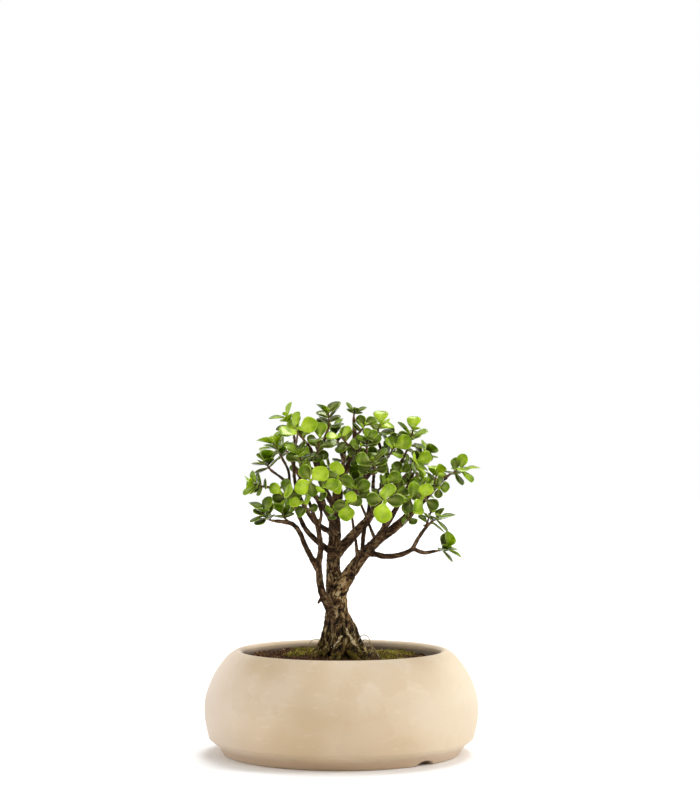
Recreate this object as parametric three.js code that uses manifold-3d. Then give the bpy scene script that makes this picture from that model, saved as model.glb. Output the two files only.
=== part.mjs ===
// A potted dwarf jade bonsai: a stoneware bowl on a foot ring, the soil in it with a drain
// mesh below, the tree's wood in one piece, and its leafy sprays, one mesh each.
// Millimetres, +Z up, the front at -Y. The origin is on the pot's axis, under its foot.

import * as THREE from "three";
import { mergeVertices } from "three/addons/utils/BufferGeometryUtils.js";
import Module from "manifold-3d";

const wasm = await Module();
wasm.setup();

// Clearance between pieces that touch
const GAP = 0.3;

// Pot, in radii and heights from its foot; the lip's arc runs between two angles
const POT_SEGMENTS = 28;
const FOOT_INNER_RADIUS = 70;
const FOOT_RADIUS = 86;
const FOOT_HOLLOW = 4;
const CREASE = [89.5, 6];
const OUTER_WALL = [[96.6, 11.5], [99.55, 25], [99.45, 40], [93.5, 56.2], [84.4, 69.2], [77.6, 74.3]];
const LIP_RADIUS = 3.2;
const LIP_ARC = [75, 170];
const INNER_WALL = [[73.4, 70], [80, 63], [87, 53], [92.4, 40], [92.4, 26], [87, 15]];
const FLOOR_RADIUS = 80;
const FLOOR_HEIGHT = 12;
const DRAIN_RADIUS = 11;
const NOTCH_WIDTH = 16;
const NOTCH_HEIGHT = 3.7;
const NOTCH_AZIMUTH = 43;

// Drain mesh on the pot's floor
const NET_SIDE = 38;
const NET_THICKNESS = 1.2;
const NET_HOLES = 4;
const NET_HOLE_SIDE = 5;

// Soil
const SOIL_HEIGHT = 67;
const SOIL_EDGE = 66;
const SOIL_MOUND = 3;
const SOIL_MOUND_RADIUS = 34;
const SOIL_TILT = 0.018;
const SOIL_RIPPLE = 0.5;
const SOIL_WAVES = [0.21, 0.17, 0.09];
const SOIL_RINGS = [70, 50, 27];

// Wood: each route is a list of [x, y, z, radius] points along a limb
const ROUTES = {
  trunk: [
    [-0.5, 0, 50, 13], [-0.5, 0, 63, 16], [-1, 0, 71, 15], [-1.5, 0, 78, 13.6], [-2.5, 0, 84.5, 12],
    [-3, 0, 91, 10.6], [-3.5, 0, 97.5, 9.2], [-3.5, 0, 104.5, 8.2], [-3.5, 0, 112, 7.7],
    [-4.5, 0, 119, 7], [-5.5, 0, 127, 5.9], [-6, 0, 136, 5.2], [-5.5, 0, 145.5, 5],
    [-5, 1, 154.5, 4.7], [-5, 1, 164, 4.5], [-5, 1, 173.5, 4], [-4, 0, 183.5, 3.4],
    [-2.5, -1, 194.5, 2.9], [2.5, -2, 204, 2.5], [7.5, -3, 214.5, 2.2], [9.5, -4, 224.5, 1.9],
    [9.5, -4, 234, 1.7], [9, -4, 243, 1.3],
  ],
  right_limb: [
    [-3, 0, 104.5, 4], [-3, -1, 113.5, 5.6], [1.5, -4, 123, 5.6], [7, -8, 132, 5],
    [13.5, -11, 141, 4.4], [20, -14, 149, 3.9], [28, -17, 156.5, 3.6], [38, -20, 164, 3.3],
    [47, -22, 172, 3], [55, -23, 180, 2.4], [62.5, -24, 188.5, 2.3], [69.5, -26, 196.5, 2.1],
    [76, -28, 201.5, 1.6],
  ],
  low_right: [
    [16.5, -12, 145, 2.2], [23.5, -15, 145, 2.2], [32, -18, 143.5, 2.1], [41, -21, 144.5, 2],
    [47.5, -24, 147, 1.8], [51.5, -26, 149, 1.6], [59.5, -24, 146.5, 1.5], [67.5, -22, 147.5, 1.3],
  ],
  low_right_fork: [
    [51, -26, 149, 1.5], [54, -28, 155, 1.5], [58, -30, 161.5, 1.4], [62, -31, 166.5, 1.15],
  ],
  right_fork: [
    [-5, 1, 142.5, 4.2], [2, 6, 150.5, 3.8], [9, 11, 158, 3.6], [16.5, 16, 165.5, 3.4],
    [22, 20, 172.5, 3.1], [27, 22, 181, 2.7], [31.5, 24, 189.5, 2.4], [36, 26, 198, 2],
    [42, 26, 206.5, 1.6], [47, 25, 216.5, 1.3],
  ],
  fork_back: [
    [28.5, 22, 183.5, 2], [36, 30, 191, 1.8], [45.5, 38, 198.5, 1.5], [53.5, 43, 206.5, 1.2],
  ],
  fork_top: [
    [34, 25, 193.5, 1.8], [33.5, 22, 205.5, 1.6], [30.5, 18, 216.5, 1.4], [27, 16, 227, 1.2],
  ],
  limb_branch: [
    [22, -15, 150, 2.8], [27.5, -10, 158, 2.6], [32.5, -6, 165.5, 2.3], [38.5, -3, 175, 2],
    [43.5, 0, 184.5, 1.8], [49, 3, 194, 1.5], [52.5, 6, 202.5, 1.2],
  ],
  front_stub: [
    [28.5, -17, 156.5, 2.2], [30.5, -23, 164, 1.9], [31.5, -29, 172.5, 1.6], [31, -34, 179.5, 1.4],
    [30.5, -40, 183.5, 1.2],
  ],
  inner_stem: [
    [15.5, -11, 143.5, 1.9], [15.5, -5, 152.5, 1.7], [16.5, 1, 161, 1.6], [18.5, -1, 169, 1.5],
    [20, -7, 179, 1.4], [19.5, -12, 189, 1.3], [17, -14, 199.5, 1.2], [16.5, -14, 209.5, 1.1],
    [18, -12, 219, 1],
  ],
  thin_stem: [
    [12, -10, 139.5, 1.5], [10.5, -15, 153, 1.2], [9, -20, 162.5, 1.1], [7.5, -25, 173, 1],
    [5.5, -30, 179, 0.95],
  ],
  cross_stem: [
    [25, -16, 154.5, 1.5], [21.5, -14, 162.5, 1.2], [18, -18, 172, 1.1], [14, -24, 181.5, 1],
  ],
  left_stem: [
    [-7.5, -2, 102, 3.4], [-11.5, -5, 110, 3], [-15, -8, 120, 2.7], [-16, -9, 128.5, 2.6],
    [-16.5, -11, 138, 2.4], [-15, -12, 148.5, 2.2], [-16, -14, 158.5, 2], [-18, -17, 168, 1.7],
    [-21.5, -19, 177.5, 1.4], [-25, -20, 188, 1.2], [-28, -20, 198, 1.1], [-29, -19, 208, 1],
  ],
  left_low: [
    [-17, -9, 133, 2.2], [-22.5, -13, 143.5, 2.1], [-26.5, -16, 152, 1.9], [-30, -19, 160.5, 1.8],
    [-34.5, -22, 166.5, 1.7], [-40.5, -24, 168.5, 1.6], [-48.5, -26, 169.5, 1.3],
  ],
  left_front: [
    [-17, -15, 164, 1.5], [-14.5, -21, 174, 1.2], [-17.5, -26, 184.5, 1.1], [-20.5, -31, 192.5, 1],
    [-21.5, -36, 196.5, 0.95],
  ],
  left_branch: [
    [-7, -3, 145.5, 2.6], [-13.5, -5, 150.5, 2.2], [-20, -7, 156, 2], [-25.5, -9, 162, 1.8],
    [-29.5, -10, 169.5, 1.7], [-33, -11, 178, 1.5], [-35.5, -12, 187.5, 1.35],
    [-37.5, -12, 196.5, 1.2], [-38.5, -10, 205, 1.1], [-42.5, -8, 213, 1],
  ],
  left_tip: [
    [-37.5, -12, 195.5, 1.2], [-44.5, -15, 201, 1.05], [-50, -17, 205, 0.95],
  ],
  left_far: [
    [-37, -12, 195, 1.2], [-44.5, -16, 193, 1.05], [-52.5, -20, 193.5, 0.95],
  ],
  left_inner: [
    [-7, 2, 159.5, 2.3], [-14.5, 5, 163.5, 2.1], [-20, 8, 168, 1.9], [-25, 11, 174.5, 1.7],
    [-29.5, 13, 182.5, 1.5], [-33, 14, 191.5, 1.4], [-35, 13, 201, 1.3], [-35, 10, 211.5, 1.2],
    [-34, 4, 221, 1.1], [-34.5, -3, 229, 1],
  ],
  left_upper: [
    [-5, 0, 178, 2.6], [-10, 5, 187, 2.3], [-15, 9, 197.5, 2], [-17.5, 11, 207.5, 1.8],
    [-16.5, 11, 216.5, 1.6], [-13.5, 10, 225.5, 1.4], [-10.5, 8, 234, 1.2],
  ],
  upper_front: [
    [-16, 10, 202.5, 1.6], [-20, 2, 211.5, 1.4], [-22, -7, 220.5, 1.2], [-25.5, -15, 225.5, 1],
  ],
  back_left: [
    [-5.5, 3, 165, 2.6], [-11, 16, 174.5, 2.3], [-18.5, 28, 184.5, 2], [-27.5, 38, 194.5, 1.7],
    [-34.5, 44, 205, 1.4], [-39, 46, 215, 1.2],
  ],
  back_right: [
    [-4, 3, 171, 2.6], [2.5, 18, 180, 2.3], [10.5, 32, 190, 2], [20, 43, 201, 1.7],
    [27.5, 50, 211.5, 1.4], [33.5, 53, 221.5, 1.1],
  ],
  back_centre: [
    [-3.5, 2, 180.5, 2.5], [-2.5, 15, 190.5, 2.2], [0, 28, 201.5, 1.9], [1, 38, 212.5, 1.6],
    [-2, 44, 223, 1.3],
  ],
  front_centre: [
    [-5, -2, 170, 2.6], [-2.5, -12, 179, 2.1], [-0.5, -19, 188, 1.7], [-1.5, -24, 195, 1.4],
    [-2, -29, 199, 1.2],
  ],
  front_left: [
    [-5, -3, 162, 2.2], [-8.5, -14, 171, 1.9], [-12, -26, 181, 1.5], [-14, -35, 189, 1.2],
  ],
  front_right: [
    [22.5, 19, 174, 1.8], [24, 6, 184, 1.6], [23, -8, 193.5, 1.4], [23.5, -20, 203, 1.2],
  ],
};
const TRUNK_SIDES = 10;
const LIMB_SIDES = 5;
const THIN_LIMB_RADIUS = 2.7;
const THIN_LIMB_SIDES = 4;
const ROOT_SIDES = 5;

// Surface roots: [azimuth, reach], all with one fall of [radius from the trunk, height, thickness]
const ROOTS = [[6, 1], [58, 0.95], [110, 1.05], [160, 0.9], [208, 0.95], [262, 1], [316, 1.05]];
const ROOT_FALL = [
  [3, 99, 4.4], [8.5, 89, 4.8], [12, 81, 4.4], [15, 75.5, 4.1], [19, 70.5, 3.5], [24.5, 65.5, 2.7],
  [31, 60, 1.8],
];
const ROOT_TWIST = 9;
const ROOT_BEND = 1.3;
const ROOT_CENTRE = [-1.5, 0];

// Sprays: limb, share of the way along it, tip x, y, z, leaf pairs, leaf length, roll of the
// last pair about the twig
const SPRAYS = [
  ["front_stub", 1, 30.5, -49, 184.5, 2, 17, 90],
  ["front_centre", 1, -2.5, -38, 201, 2, 14, 90],
  ["left_front", 1, -21.5, -45, 199, 2, 16, 32],
  ["right_limb", 0.82, 58, -40, 186, 2, 15, 60],
  ["thin_stem", 1, 4, -38, 182.5, 2, 14, 105],
  ["upper_front", 1, -35, -24, 236, 4, 15, 20],
  ["front_left", 1, -13, -43, 194, 2, 13, 30],
  ["trunk", 0.9, -0.5, -24, 230.5, 3, 13, 10],
  ["right_limb", 1, 88.5, -36, 207, 5, 13, 0],
  ["right_limb", 0.93, 69.5, -40, 193.5, 3, 10, 0],
  ["right_limb", 0.87, 69, -22, 205, 4, 11, 0],
  ["right_limb", 0.73, 49, -38, 185.5, 4, 13, 45],
  ["right_limb", 0.63, 51.5, -34, 175.5, 3, 11, 0],
  ["right_limb", 0.77, 60.5, -4, 197.5, 5, 13, 45],
  ["low_right", 1, 76.5, -23, 149.5, 4, 14, 90],
  ["low_right_fork", 1, 70.5, -34, 172, 4, 14, 0],
  ["low_right_fork", 0.62, 64.5, -26, 176.5, 4, 10, 45],
  ["right_fork", 1, 53, 20, 235.5, 5, 14, 0],
  ["right_fork", 0.9, 55.5, 14, 212, 4, 14, 0],
  ["right_fork", 0.78, 43.5, 6, 204, 4, 12, 0],
  ["fork_back", 1, 63, 48, 218.5, 5, 13, 0],
  ["fork_back", 0.55, 51.5, 50, 196, 4, 12, 0],
  ["fork_top", 1, 29, 12, 239.5, 4, 14, 0],
  ["fork_top", 0.55, 38.5, 8, 222.5, 4, 14, 0],
  ["limb_branch", 1, 55, -6, 200.5, 4, 12, 0],
  ["limb_branch", 0.72, 39.5, -12, 191.5, 4, 11, 0],
  ["inner_stem", 1, 18, -15, 229, 5, 12, 0],
  ["cross_stem", 1, 10.5, -31, 192.5, 4, 13, 0],
  ["front_right", 1, 22.5, -27, 212.5, 5, 13, 0],
  ["front_right", 0.55, 32.5, -14, 197, 3, 12, 0],
  ["trunk", 1, 9.5, -4, 248.5, 3, 9, 0],
  ["trunk", 0.94, 17, -13, 238.5, 4, 11, 0],
  ["trunk", 0.86, 14, -20, 222.5, 4, 12, 0],
  ["upper_front", 0.35, -15.5, -20, 229, 4, 14, 90],
  ["front_left", 0.42, -5.5, -27, 178.5, 2, 12, 0],
  ["left_low", 1, -57, -30, 176, 5, 14, 0],
  ["left_low", 0.72, -43.5, -19, 175.5, 3, 12, 0],
  ["left_far", 1, -63.5, -24, 196, 5, 13, 0],
  ["left_tip", 1, -54.5, -18, 212.5, 4, 13, 0],
  ["left_branch", 1, -50, -4, 225.5, 5, 14, 0],
  ["left_branch", 0.68, -42.5, -27, 189, 3, 14, 0],
  ["left_stem", 1, -30, -21, 217.5, 4, 13, 0],
  ["left_stem", 0.72, -27.5, -33, 182.5, 3, 11, 0],
  ["left_inner", 1, -40.5, -6, 245, 5, 13, 0],
  ["left_inner", 0.58, -39.5, 6, 184, 4, 12, 0],
  ["left_upper", 1, -10, 6, 248, 4, 14, 0],
  ["left_upper", 0.62, -24.5, 6, 213, 4, 12, 0],
  ["back_left", 1, -47.5, 50, 223, 4, 13, 0],
  ["back_left", 0.7, -29.5, 60, 211, 4, 13, 0],
  ["back_right", 1, 40.5, 58, 230, 4, 13, 0],
  ["back_right", 0.7, 23, 63, 215.5, 4, 13, 0],
  ["back_right", 0.48, 7.5, 50, 199, 4, 13, 0],
  ["back_centre", 1, -6, 46, 236, 4, 13, 0],
  ["back_centre", 0.62, 3, 56, 221.5, 4, 13, 0],
  ["back_centre", 0.48, -11, 44, 206.5, 4, 13, 0],
  ["left_inner", 0.93, -31, -33, 235, 2, 18, 35],
];
const SPUR_LENGTH = 2.2;
const SPUR_FOOT_RADIUS = 1.4;
const SPUR_RADIUS = 1.1;
const SPUR_SIDES = 4;
const TWIG_RADIUS = 0.95;
const TWIG_TIP_RADIUS = 0.6;
const TWIG_SIDES = 4;
const TWIG_STEPS = 3;
const TWIG_RUN = 0.45;
const TWIG_SAG = 0.14;

// Leaves: opposite pairs, each at right angles to the next, wide open low on a twig
const LEAF_WIDTH = 0.82;
const LEAF_THICKNESS = 1.2;
const LEAF_OUTLINE = [[0, 0], [0.55, -1], [0.95, -0.9], [0.95, 0.9], [0.55, 1]];
const LEAF_PEAK = 0.55;
const FIRST_PAIR_REACH = 3.8;
const LAST_PAIR_REACH = 0.9;
const SPREAD_LOW = 72;
const SPREAD_TIP = 52;
const CROWN_CENTRE = [5, 38, 195];
const OUTWARD_PULL = 1;
const UPWARD_PULL = 0.2;
const ROLL_JITTER = 16;
const SPREAD_JITTER = 9;
const SIZE_JITTER = 0.12;
const FIRST_SIZE = 0.8;

// A leaf that would come too near to anything else turns and shrinks, or isn't grown at all
const LEAF_CLEARANCE = 1;
const SAMPLE_STEP = 1.5;
const LEAF_TRIES = [[0, 1], [24, 1], [-24, 1], [0, 0.8], [42, 0.8], [-42, 0.8], [0, 0.6]];
const SEED = 20571;

const MATERIALS = {
  stoneware: new THREE.MeshStandardMaterial({ color: 0xdcc6a6, roughness: 0.75, metalness: 0 }),
  net: new THREE.MeshStandardMaterial({ color: 0x23282a, roughness: 0.6, metalness: 0 }),
  soil: new THREE.MeshStandardMaterial({ color: 0x2c1b0f, roughness: 1, metalness: 0 }),
  bark: new THREE.MeshStandardMaterial({ color: 0x5a4630, roughness: 0.9, metalness: 0 }),
  leaf: new THREE.MeshStandardMaterial({ color: 0x7da32c, roughness: 0.4, metalness: 0 }),
};

const { degToRad, lerp } = THREE.MathUtils;
const UP = new THREE.Vector3(0, 0, 1);

// Closed solids from three.js geometry, and back
function solid(geometry) {
  const bare = new THREE.BufferGeometry();
  bare.setAttribute("position", geometry.getAttribute("position").clone());
  bare.setIndex(geometry.index);
  const merged = mergeVertices(bare);
  const vertProperties = new Float32Array(merged.getAttribute("position").array);
  const triVerts = new Uint32Array(merged.index.array);
  return new wasm.Manifold(new wasm.Mesh({ numProp: 3, vertProperties, triVerts }));
}

function geometryOf(body) {
  const mesh = body.getMesh();
  const geometry = new THREE.BufferGeometry();
  geometry.setAttribute("position", new THREE.BufferAttribute(mesh.vertProperties, 3));
  geometry.setIndex(new THREE.BufferAttribute(mesh.triVerts, 1));
  geometry.computeVertexNormals();
  return geometry;
}

function fuse(bodies) {
  return bodies.reduce((whole, body) => whole.add(body));
}

const bonsai = new THREE.Group();

function addPiece(name, body, material) {
  const mesh = new THREE.Mesh(geometryOf(body), material);
  mesh.name = name;
  bonsai.add(mesh);
}

// Pot

function lathe(profile) {
  return new THREE.LatheGeometry(profile, POT_SEGMENTS).rotateX(Math.PI / 2);
}

function points2(pairs) {
  return pairs.map(([radius, height]) => new THREE.Vector2(radius, height));
}

function innerWall() {
  return new THREE.SplineCurve(points2(INNER_WALL)).getPoints(4);
}

function potProfile() {
  const outer = new THREE.SplineCurve(points2(OUTER_WALL)).getPoints(7);
  const lipTop = OUTER_WALL.at(-1);
  const [lipFrom, lipTo] = LIP_ARC.map(degToRad);
  const lipX = lipTop[0] - LIP_RADIUS / 2;
  const lipZ = lipTop[1] - 0.9 * LIP_RADIUS;
  const lip = new THREE.EllipseCurve(lipX, lipZ, LIP_RADIUS, LIP_RADIUS, lipFrom, lipTo);
  return [
    ...points2([[DRAIN_RADIUS, FOOT_HOLLOW], [FOOT_INNER_RADIUS, FOOT_HOLLOW], [FOOT_INNER_RADIUS, 0]]),
    ...points2([[FOOT_RADIUS, 0], CREASE]),
    ...outer,
    ...lip.getPoints(3),
    ...innerWall(),
    ...points2([[FLOOR_RADIUS, FLOOR_HEIGHT], [DRAIN_RADIUS, FLOOR_HEIGHT]]),
    ...points2([[DRAIN_RADIUS, FOOT_HOLLOW]]),
  ];
}

// Two arched notches in the foot ring, opposite each other, cut by one bar
function notchBar() {
  const half = NOTCH_WIDTH / 2;
  const arch = new THREE.Shape();
  arch.moveTo(-half, -1).lineTo(half, -1).lineTo(half, 0);
  arch.absellipse(0, 0, half, NOTCH_HEIGHT, 0, Math.PI);
  const length = 2 * (OUTER_WALL[1][0] + 2);
  return new THREE.ExtrudeGeometry(arch, { depth: length, bevelEnabled: false, curveSegments: 6 })
    .rotateX(Math.PI / 2)
    .translate(0, length / 2, 0)
    .rotateZ(degToRad(NOTCH_AZIMUTH));
}

function pot() {
  return solid(lathe(potProfile())).subtract(solid(notchBar()));
}

// Drain mesh

function drainNet() {
  const height = FLOOR_HEIGHT + GAP + NET_THICKNESS / 2;
  const pitch = NET_SIDE / NET_HOLES;
  let net = solid(new THREE.BoxGeometry(NET_SIDE, NET_SIDE, NET_THICKNESS).translate(0, 0, height));
  for (let column = 0; column < NET_HOLES; column += 1) {
    for (let row = 0; row < NET_HOLES; row += 1) {
      const x = (column - (NET_HOLES - 1) / 2) * pitch;
      const y = (row - (NET_HOLES - 1) / 2) * pitch;
      const hole = new THREE.BoxGeometry(NET_HOLE_SIDE, NET_HOLE_SIDE, 2 * NET_THICKNESS);
      net = net.subtract(solid(hole.translate(x, y, height)));
    }
  }
  return net;
}

// Soil

function soilTop(x, y) {
  const mound = SOIL_MOUND * Math.exp(-((x * x + y * y) / SOIL_MOUND_RADIUS ** 2));
  const [wave, crossWave, longWave] = SOIL_WAVES;
  const ripple = Math.sin(wave * x + 1) * Math.cos(crossWave * y) + Math.sin(longWave * (x + 2 * y));
  return SOIL_HEIGHT - SOIL_TILT * x + mound + SOIL_RIPPLE * ripple;
}

// The filling follows the pot's inner wall from the floor up to the soil line
function soilProfile() {
  const wall = innerWall();
  const above = wall.findLastIndex((point) => point.y > SOIL_EDGE);
  const share = (wall[above].y - SOIL_EDGE) / (wall[above].y - wall[above + 1].y);
  const edge = wall[above].clone().lerp(wall[above + 1], share);
  const side = [edge, ...wall.slice(above + 1), new THREE.Vector2(FLOOR_RADIUS, FLOOR_HEIGHT + GAP)];
  return [
    new THREE.Vector2(0, FLOOR_HEIGHT + GAP),
    ...side.reverse().map((point) => new THREE.Vector2(point.x - GAP, point.y)),
    ...SOIL_RINGS.map((radius) => new THREE.Vector2(radius, SOIL_HEIGHT)),
    new THREE.Vector2(0, SOIL_HEIGHT),
  ];
}

function filling() {
  const geometry = lathe(soilProfile());
  const position = geometry.getAttribute("position");
  for (let i = 0; i < position.count; i += 1) {
    if (position.getZ(i) > SOIL_EDGE + 0.01) {
      position.setZ(i, soilTop(position.getX(i), position.getY(i)));
    }
  }
  return solid(geometry);
}

// The room for the drain mesh in the filling's underside
function netPocket() {
  const side = NET_SIDE + 2 * GAP;
  const height = NET_THICKNESS + 2 * GAP;
  return solid(new THREE.BoxGeometry(side, side, height).translate(0, 0, FLOOR_HEIGHT + height / 2));
}

// Tubes

// Frames carried along a curve without twist, at even shares of the way
function frames(curve, steps) {
  const list = [];
  let across = null;
  for (let k = 0; k <= steps; k += 1) {
    const along = curve.getTangent(k / steps);
    across = across ? across.clone() : sideways(along);
    across.addScaledVector(along, -across.dot(along)).normalize();
    list.push({ point: curve.getPoint(k / steps), along, across, third: across.clone().cross(along) });
  }
  return list;
}

function sideways(along) {
  const side = UP.clone().cross(along);
  return side.length() > 0.3 ? side.normalize() : new THREE.Vector3(1, 0, 0);
}

// A closed tube with flat ends, its radius a function of the share of the way
function taperedTube(curve, radius, sides, steps, grow = 0) {
  const geometry = new THREE.CylinderGeometry(1, 1, 1, sides, steps);
  const position = geometry.getAttribute("position");
  const rings = frames(curve, steps);
  const spot = new THREE.Vector3();
  for (let i = 0; i < position.count; i += 1) {
    const ring = Math.round((position.getY(i) + 0.5) * steps);
    const { point, along, across, third } = rings[ring];
    const reach = radius(ring / steps) + grow;
    spot.copy(point)
      .addScaledVector(across, position.getX(i) * reach)
      .addScaledVector(third, position.getZ(i) * reach);
    if (ring === 0) spot.addScaledVector(along, -grow);
    if (ring === steps) spot.addScaledVector(along, grow);
    position.setXYZ(i, spot.x, spot.y, spot.z);
  }
  return solid(geometry);
}

// Wood

function limbCurve(route) {
  const points = route.map(([x, y, z]) => new THREE.Vector3(x, y, z));
  return new THREE.CatmullRomCurve3(points, false, "catmullrom", 0.5);
}

function limbRadius(route, share) {
  const place = share * (route.length - 1);
  const start = Math.min(Math.floor(place), route.length - 2);
  return lerp(route[start][3], route[start + 1][3], place - start);
}

const CURVES = {};
for (const [name, route] of Object.entries(ROUTES)) {
  CURVES[name] = limbCurve(route);
}

function limb(name, grow = 0) {
  const route = ROUTES[name];
  const thin = route[0][3] < THIN_LIMB_RADIUS;
  const limbSides = thin ? THIN_LIMB_SIDES : LIMB_SIDES;
  const sides = name === "trunk" ? TRUNK_SIDES : limbSides;
  return taperedTube(CURVES[name], (share) => limbRadius(route, share), sides, route.length - 1, grow);
}

// Each root leaves the trunk, falls to the soil and bends sideways as it goes under
function rootRoute([azimuth, reach]) {
  return ROOT_FALL.map(([radius, height, thickness], i) => {
    const angle = degToRad(azimuth + ROOT_TWIST * Math.sin(ROOT_BEND * i + azimuth));
    const x = ROOT_CENTRE[0] + radius * reach * Math.cos(angle);
    const y = ROOT_CENTRE[1] + radius * reach * Math.sin(angle);
    return [x, y, height, thickness];
  });
}

function root(spec, grow = 0) {
  const route = rootRoute(spec);
  const radius = (share) => limbRadius(route, share);
  return taperedTube(limbCurve(route), radius, ROOT_SIDES, route.length - 1, grow);
}

function trunkBase(grow) {
  return fuse([limb("trunk", grow), ...ROOTS.map((spec) => root(spec, grow))]);
}

// Where a spray leaves its limb: from the flat end of the limb, or from a spur on its side
function sprayAnchor([name, share, x, y, z]) {
  const tip = new THREE.Vector3(x, y, z);
  const foot = CURVES[name].getPoint(share);
  const reach = foot.distanceTo(tip);
  if (share === 1) {
    const along = CURVES[name].getTangent(1);
    const bend = foot.clone().addScaledVector(along, TWIG_RUN * reach);
    return { bend, tip, start: foot.clone().addScaledVector(along, GAP) };
  }
  const bend = foot.clone().add(tip).multiplyScalar(0.5).addScaledVector(UP, -TWIG_SAG * reach);
  const along = bend.clone().sub(foot).normalize();
  const spurEnd = foot.clone().addScaledVector(along, limbRadius(ROUTES[name], share) + SPUR_LENGTH);
  const start = spurEnd.clone().addScaledVector(along, GAP);
  return { bend, tip, start, spur: new THREE.LineCurve3(foot, spurEnd) };
}

const ANCHORS = SPRAYS.map(sprayAnchor);

function spurSolid({ spur }) {
  return taperedTube(spur, (share) => lerp(SPUR_FOOT_RADIUS, SPUR_RADIUS, share), SPUR_SIDES, 1);
}

function wood() {
  const limbs = Object.keys(ROUTES).filter((name) => name !== "trunk").map((name) => limb(name));
  const spurs = ANCHORS.filter((anchor) => anchor.spur).map(spurSolid);
  return fuse([trunkBase(0), ...limbs, ...spurs]);
}

// Leaves

// Half of a leaf's width at share u of its length, as a share of that length
function leafHalfWidth(u) {
  return LEAF_WIDTH / 2 * Math.max(0, Math.sin(Math.PI * u ** 1.35)) ** 0.8;
}

// Points spread over a leaf: share of its length, share of its half width
const LEAF_SAMPLES = [
  [0.3, -1], [0.3, 1], [0.5, -1], [0.5, 1], [0.7, -1], [0.7, 1], [0.88, -1], [0.88, 1],
  [0.5, -0.5], [0.5, 0.5], [0.75, -0.5], [0.75, 0.5], [0.3, 0], [0.5, 0], [0.7, 0], [0.9, 0], [1, 0],
];

function leafPoint(leaf, u, across, lift) {
  return leaf.root.clone()
    .addScaledVector(leaf.axis, u * leaf.length)
    .addScaledVector(leaf.side, across * leaf.length)
    .addScaledVector(leaf.face, lift);
}

function leafBalls(leaf) {
  return LEAF_SAMPLES.map(([u, edge]) => (
    { spot: leafPoint(leaf, u, edge * leafHalfWidth(u), 0), radius: 0 }));
}

// Whether a ball comes nearer to a leaf's blade than the clearance
function leafMeets(leaf, { spot, radius }) {
  const offset = spot.clone().sub(leaf.root);
  const margin = radius + LEAF_CLEARANCE;
  if (Math.abs(offset.dot(leaf.face)) > margin + LEAF_THICKNESS / 2) return false;
  const u = offset.dot(leaf.axis) / leaf.length;
  const edge = margin / leaf.length;
  if (u < -edge || u > 1 + edge) return false;
  const inside = Math.min(Math.max(u, 0), 1);
  return Math.abs(offset.dot(leaf.side)) / leaf.length < leafHalfWidth(inside) + edge;
}

// Balls along a curve stand for the limb or twig around it
function ballsAlong(curve, radius) {
  const count = Math.ceil(curve.getLength() / SAMPLE_STEP);
  return Array.from({ length: count + 1 }, (_, k) => (
    { spot: curve.getPoint(k / count), radius: radius(k / count) }));
}

function twigRadius(share) {
  return lerp(TWIG_RADIUS, TWIG_TIP_RADIUS, share);
}

let seed = SEED;

// A repeatable draw between -1 and 1
function draw() {
  seed = (seed * 48271) % 2147483647;
  return 2 * seed / 2147483647 - 1;
}

// One pair's node on its twig: the point, the way on, and two directions across it
function pairFrame(twig, share) {
  const along = twig.getTangent(share);
  const across = sideways(twig.getTangent(0));
  across.addScaledVector(along, -across.dot(along)).normalize();
  return { point: twig.getPoint(share), along, across, third: along.clone().cross(across) };
}

function makeLeaf(frame, angle, spread, length) {
  const { point, along, across, third } = frame;
  const out = across.clone().multiplyScalar(Math.cos(angle)).addScaledVector(third, Math.sin(angle));
  const axis = along.clone().multiplyScalar(Math.cos(spread)).addScaledVector(out, Math.sin(spread));
  const outward = point.clone().sub(new THREE.Vector3(...CROWN_CENTRE)).normalize();
  const face = along.clone().addScaledVector(outward, OUTWARD_PULL).addScaledVector(UP, UPWARD_PULL);
  face.addScaledVector(axis, -face.dot(axis)).normalize();
  const side = face.clone().cross(axis);
  return { root: point, axis, face, side, length };
}

// The leaves of one spray, pair by pair, each the first of its tries that is clear
function growSpray(twig, [, , , , , pairs, size, roll], isClear) {
  const reach = twig.getLength();
  const leaves = [];
  for (let pair = 0; pair < pairs; pair += 1) {
    const rise = pair / (pairs - 1);
    const frame = pairFrame(twig, lerp(FIRST_PAIR_REACH / reach, 1 - LAST_PAIR_REACH / reach, rise));
    const pairRoll = roll + 90 * (pairs - 1 - pair) + ROLL_JITTER * draw();
    for (const opposite of [0, 180]) {
      const spread = degToRad(lerp(SPREAD_LOW, SPREAD_TIP, rise) + SPREAD_JITTER * draw());
      const length = size * lerp(FIRST_SIZE, 1, rise) * (1 + SIZE_JITTER * draw());
      const tries = LEAF_TRIES.map(([turn, scale]) => (
        makeLeaf(frame, degToRad(pairRoll + opposite + turn), spread, scale * length)));
      const leaf = tries.find(isClear);
      if (leaf) leaves.push(leaf);
    }
  }
  return leaves;
}

// Every spray's twig and leaves, kept clear of all wood and of the other sprays
function growCrown() {
  const twigs = ANCHORS.map(({ start, bend, tip }) => new THREE.QuadraticBezierCurve3(start, bend, tip));
  const limbBalls = Object.keys(ROUTES).flatMap((name) => (
    ballsAlong(CURVES[name], (share) => limbRadius(ROUTES[name], share))));
  const twigBalls = twigs.map((twig) => ballsAlong(twig, twigRadius));
  const crown = [];
  SPRAYS.forEach((row, index) => {
    const balls = [...limbBalls, ...twigBalls.filter((_, other) => other !== index).flat()];
    const grown = crown.flatMap(({ leaves }) => leaves);
    const isClear = (leaf) => !balls.some((ball) => leafMeets(leaf, ball))
      && !grown.some((other) => leafBalls(leaf).some((ball) => leafMeets(other, ball)))
      && !grown.some((other) => leafBalls(other).some((ball) => leafMeets(leaf, ball)));
    crown.push({ twig: twigs[index], leaves: growSpray(twigs[index], row, isClear) });
  });
  return crown;
}

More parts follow.
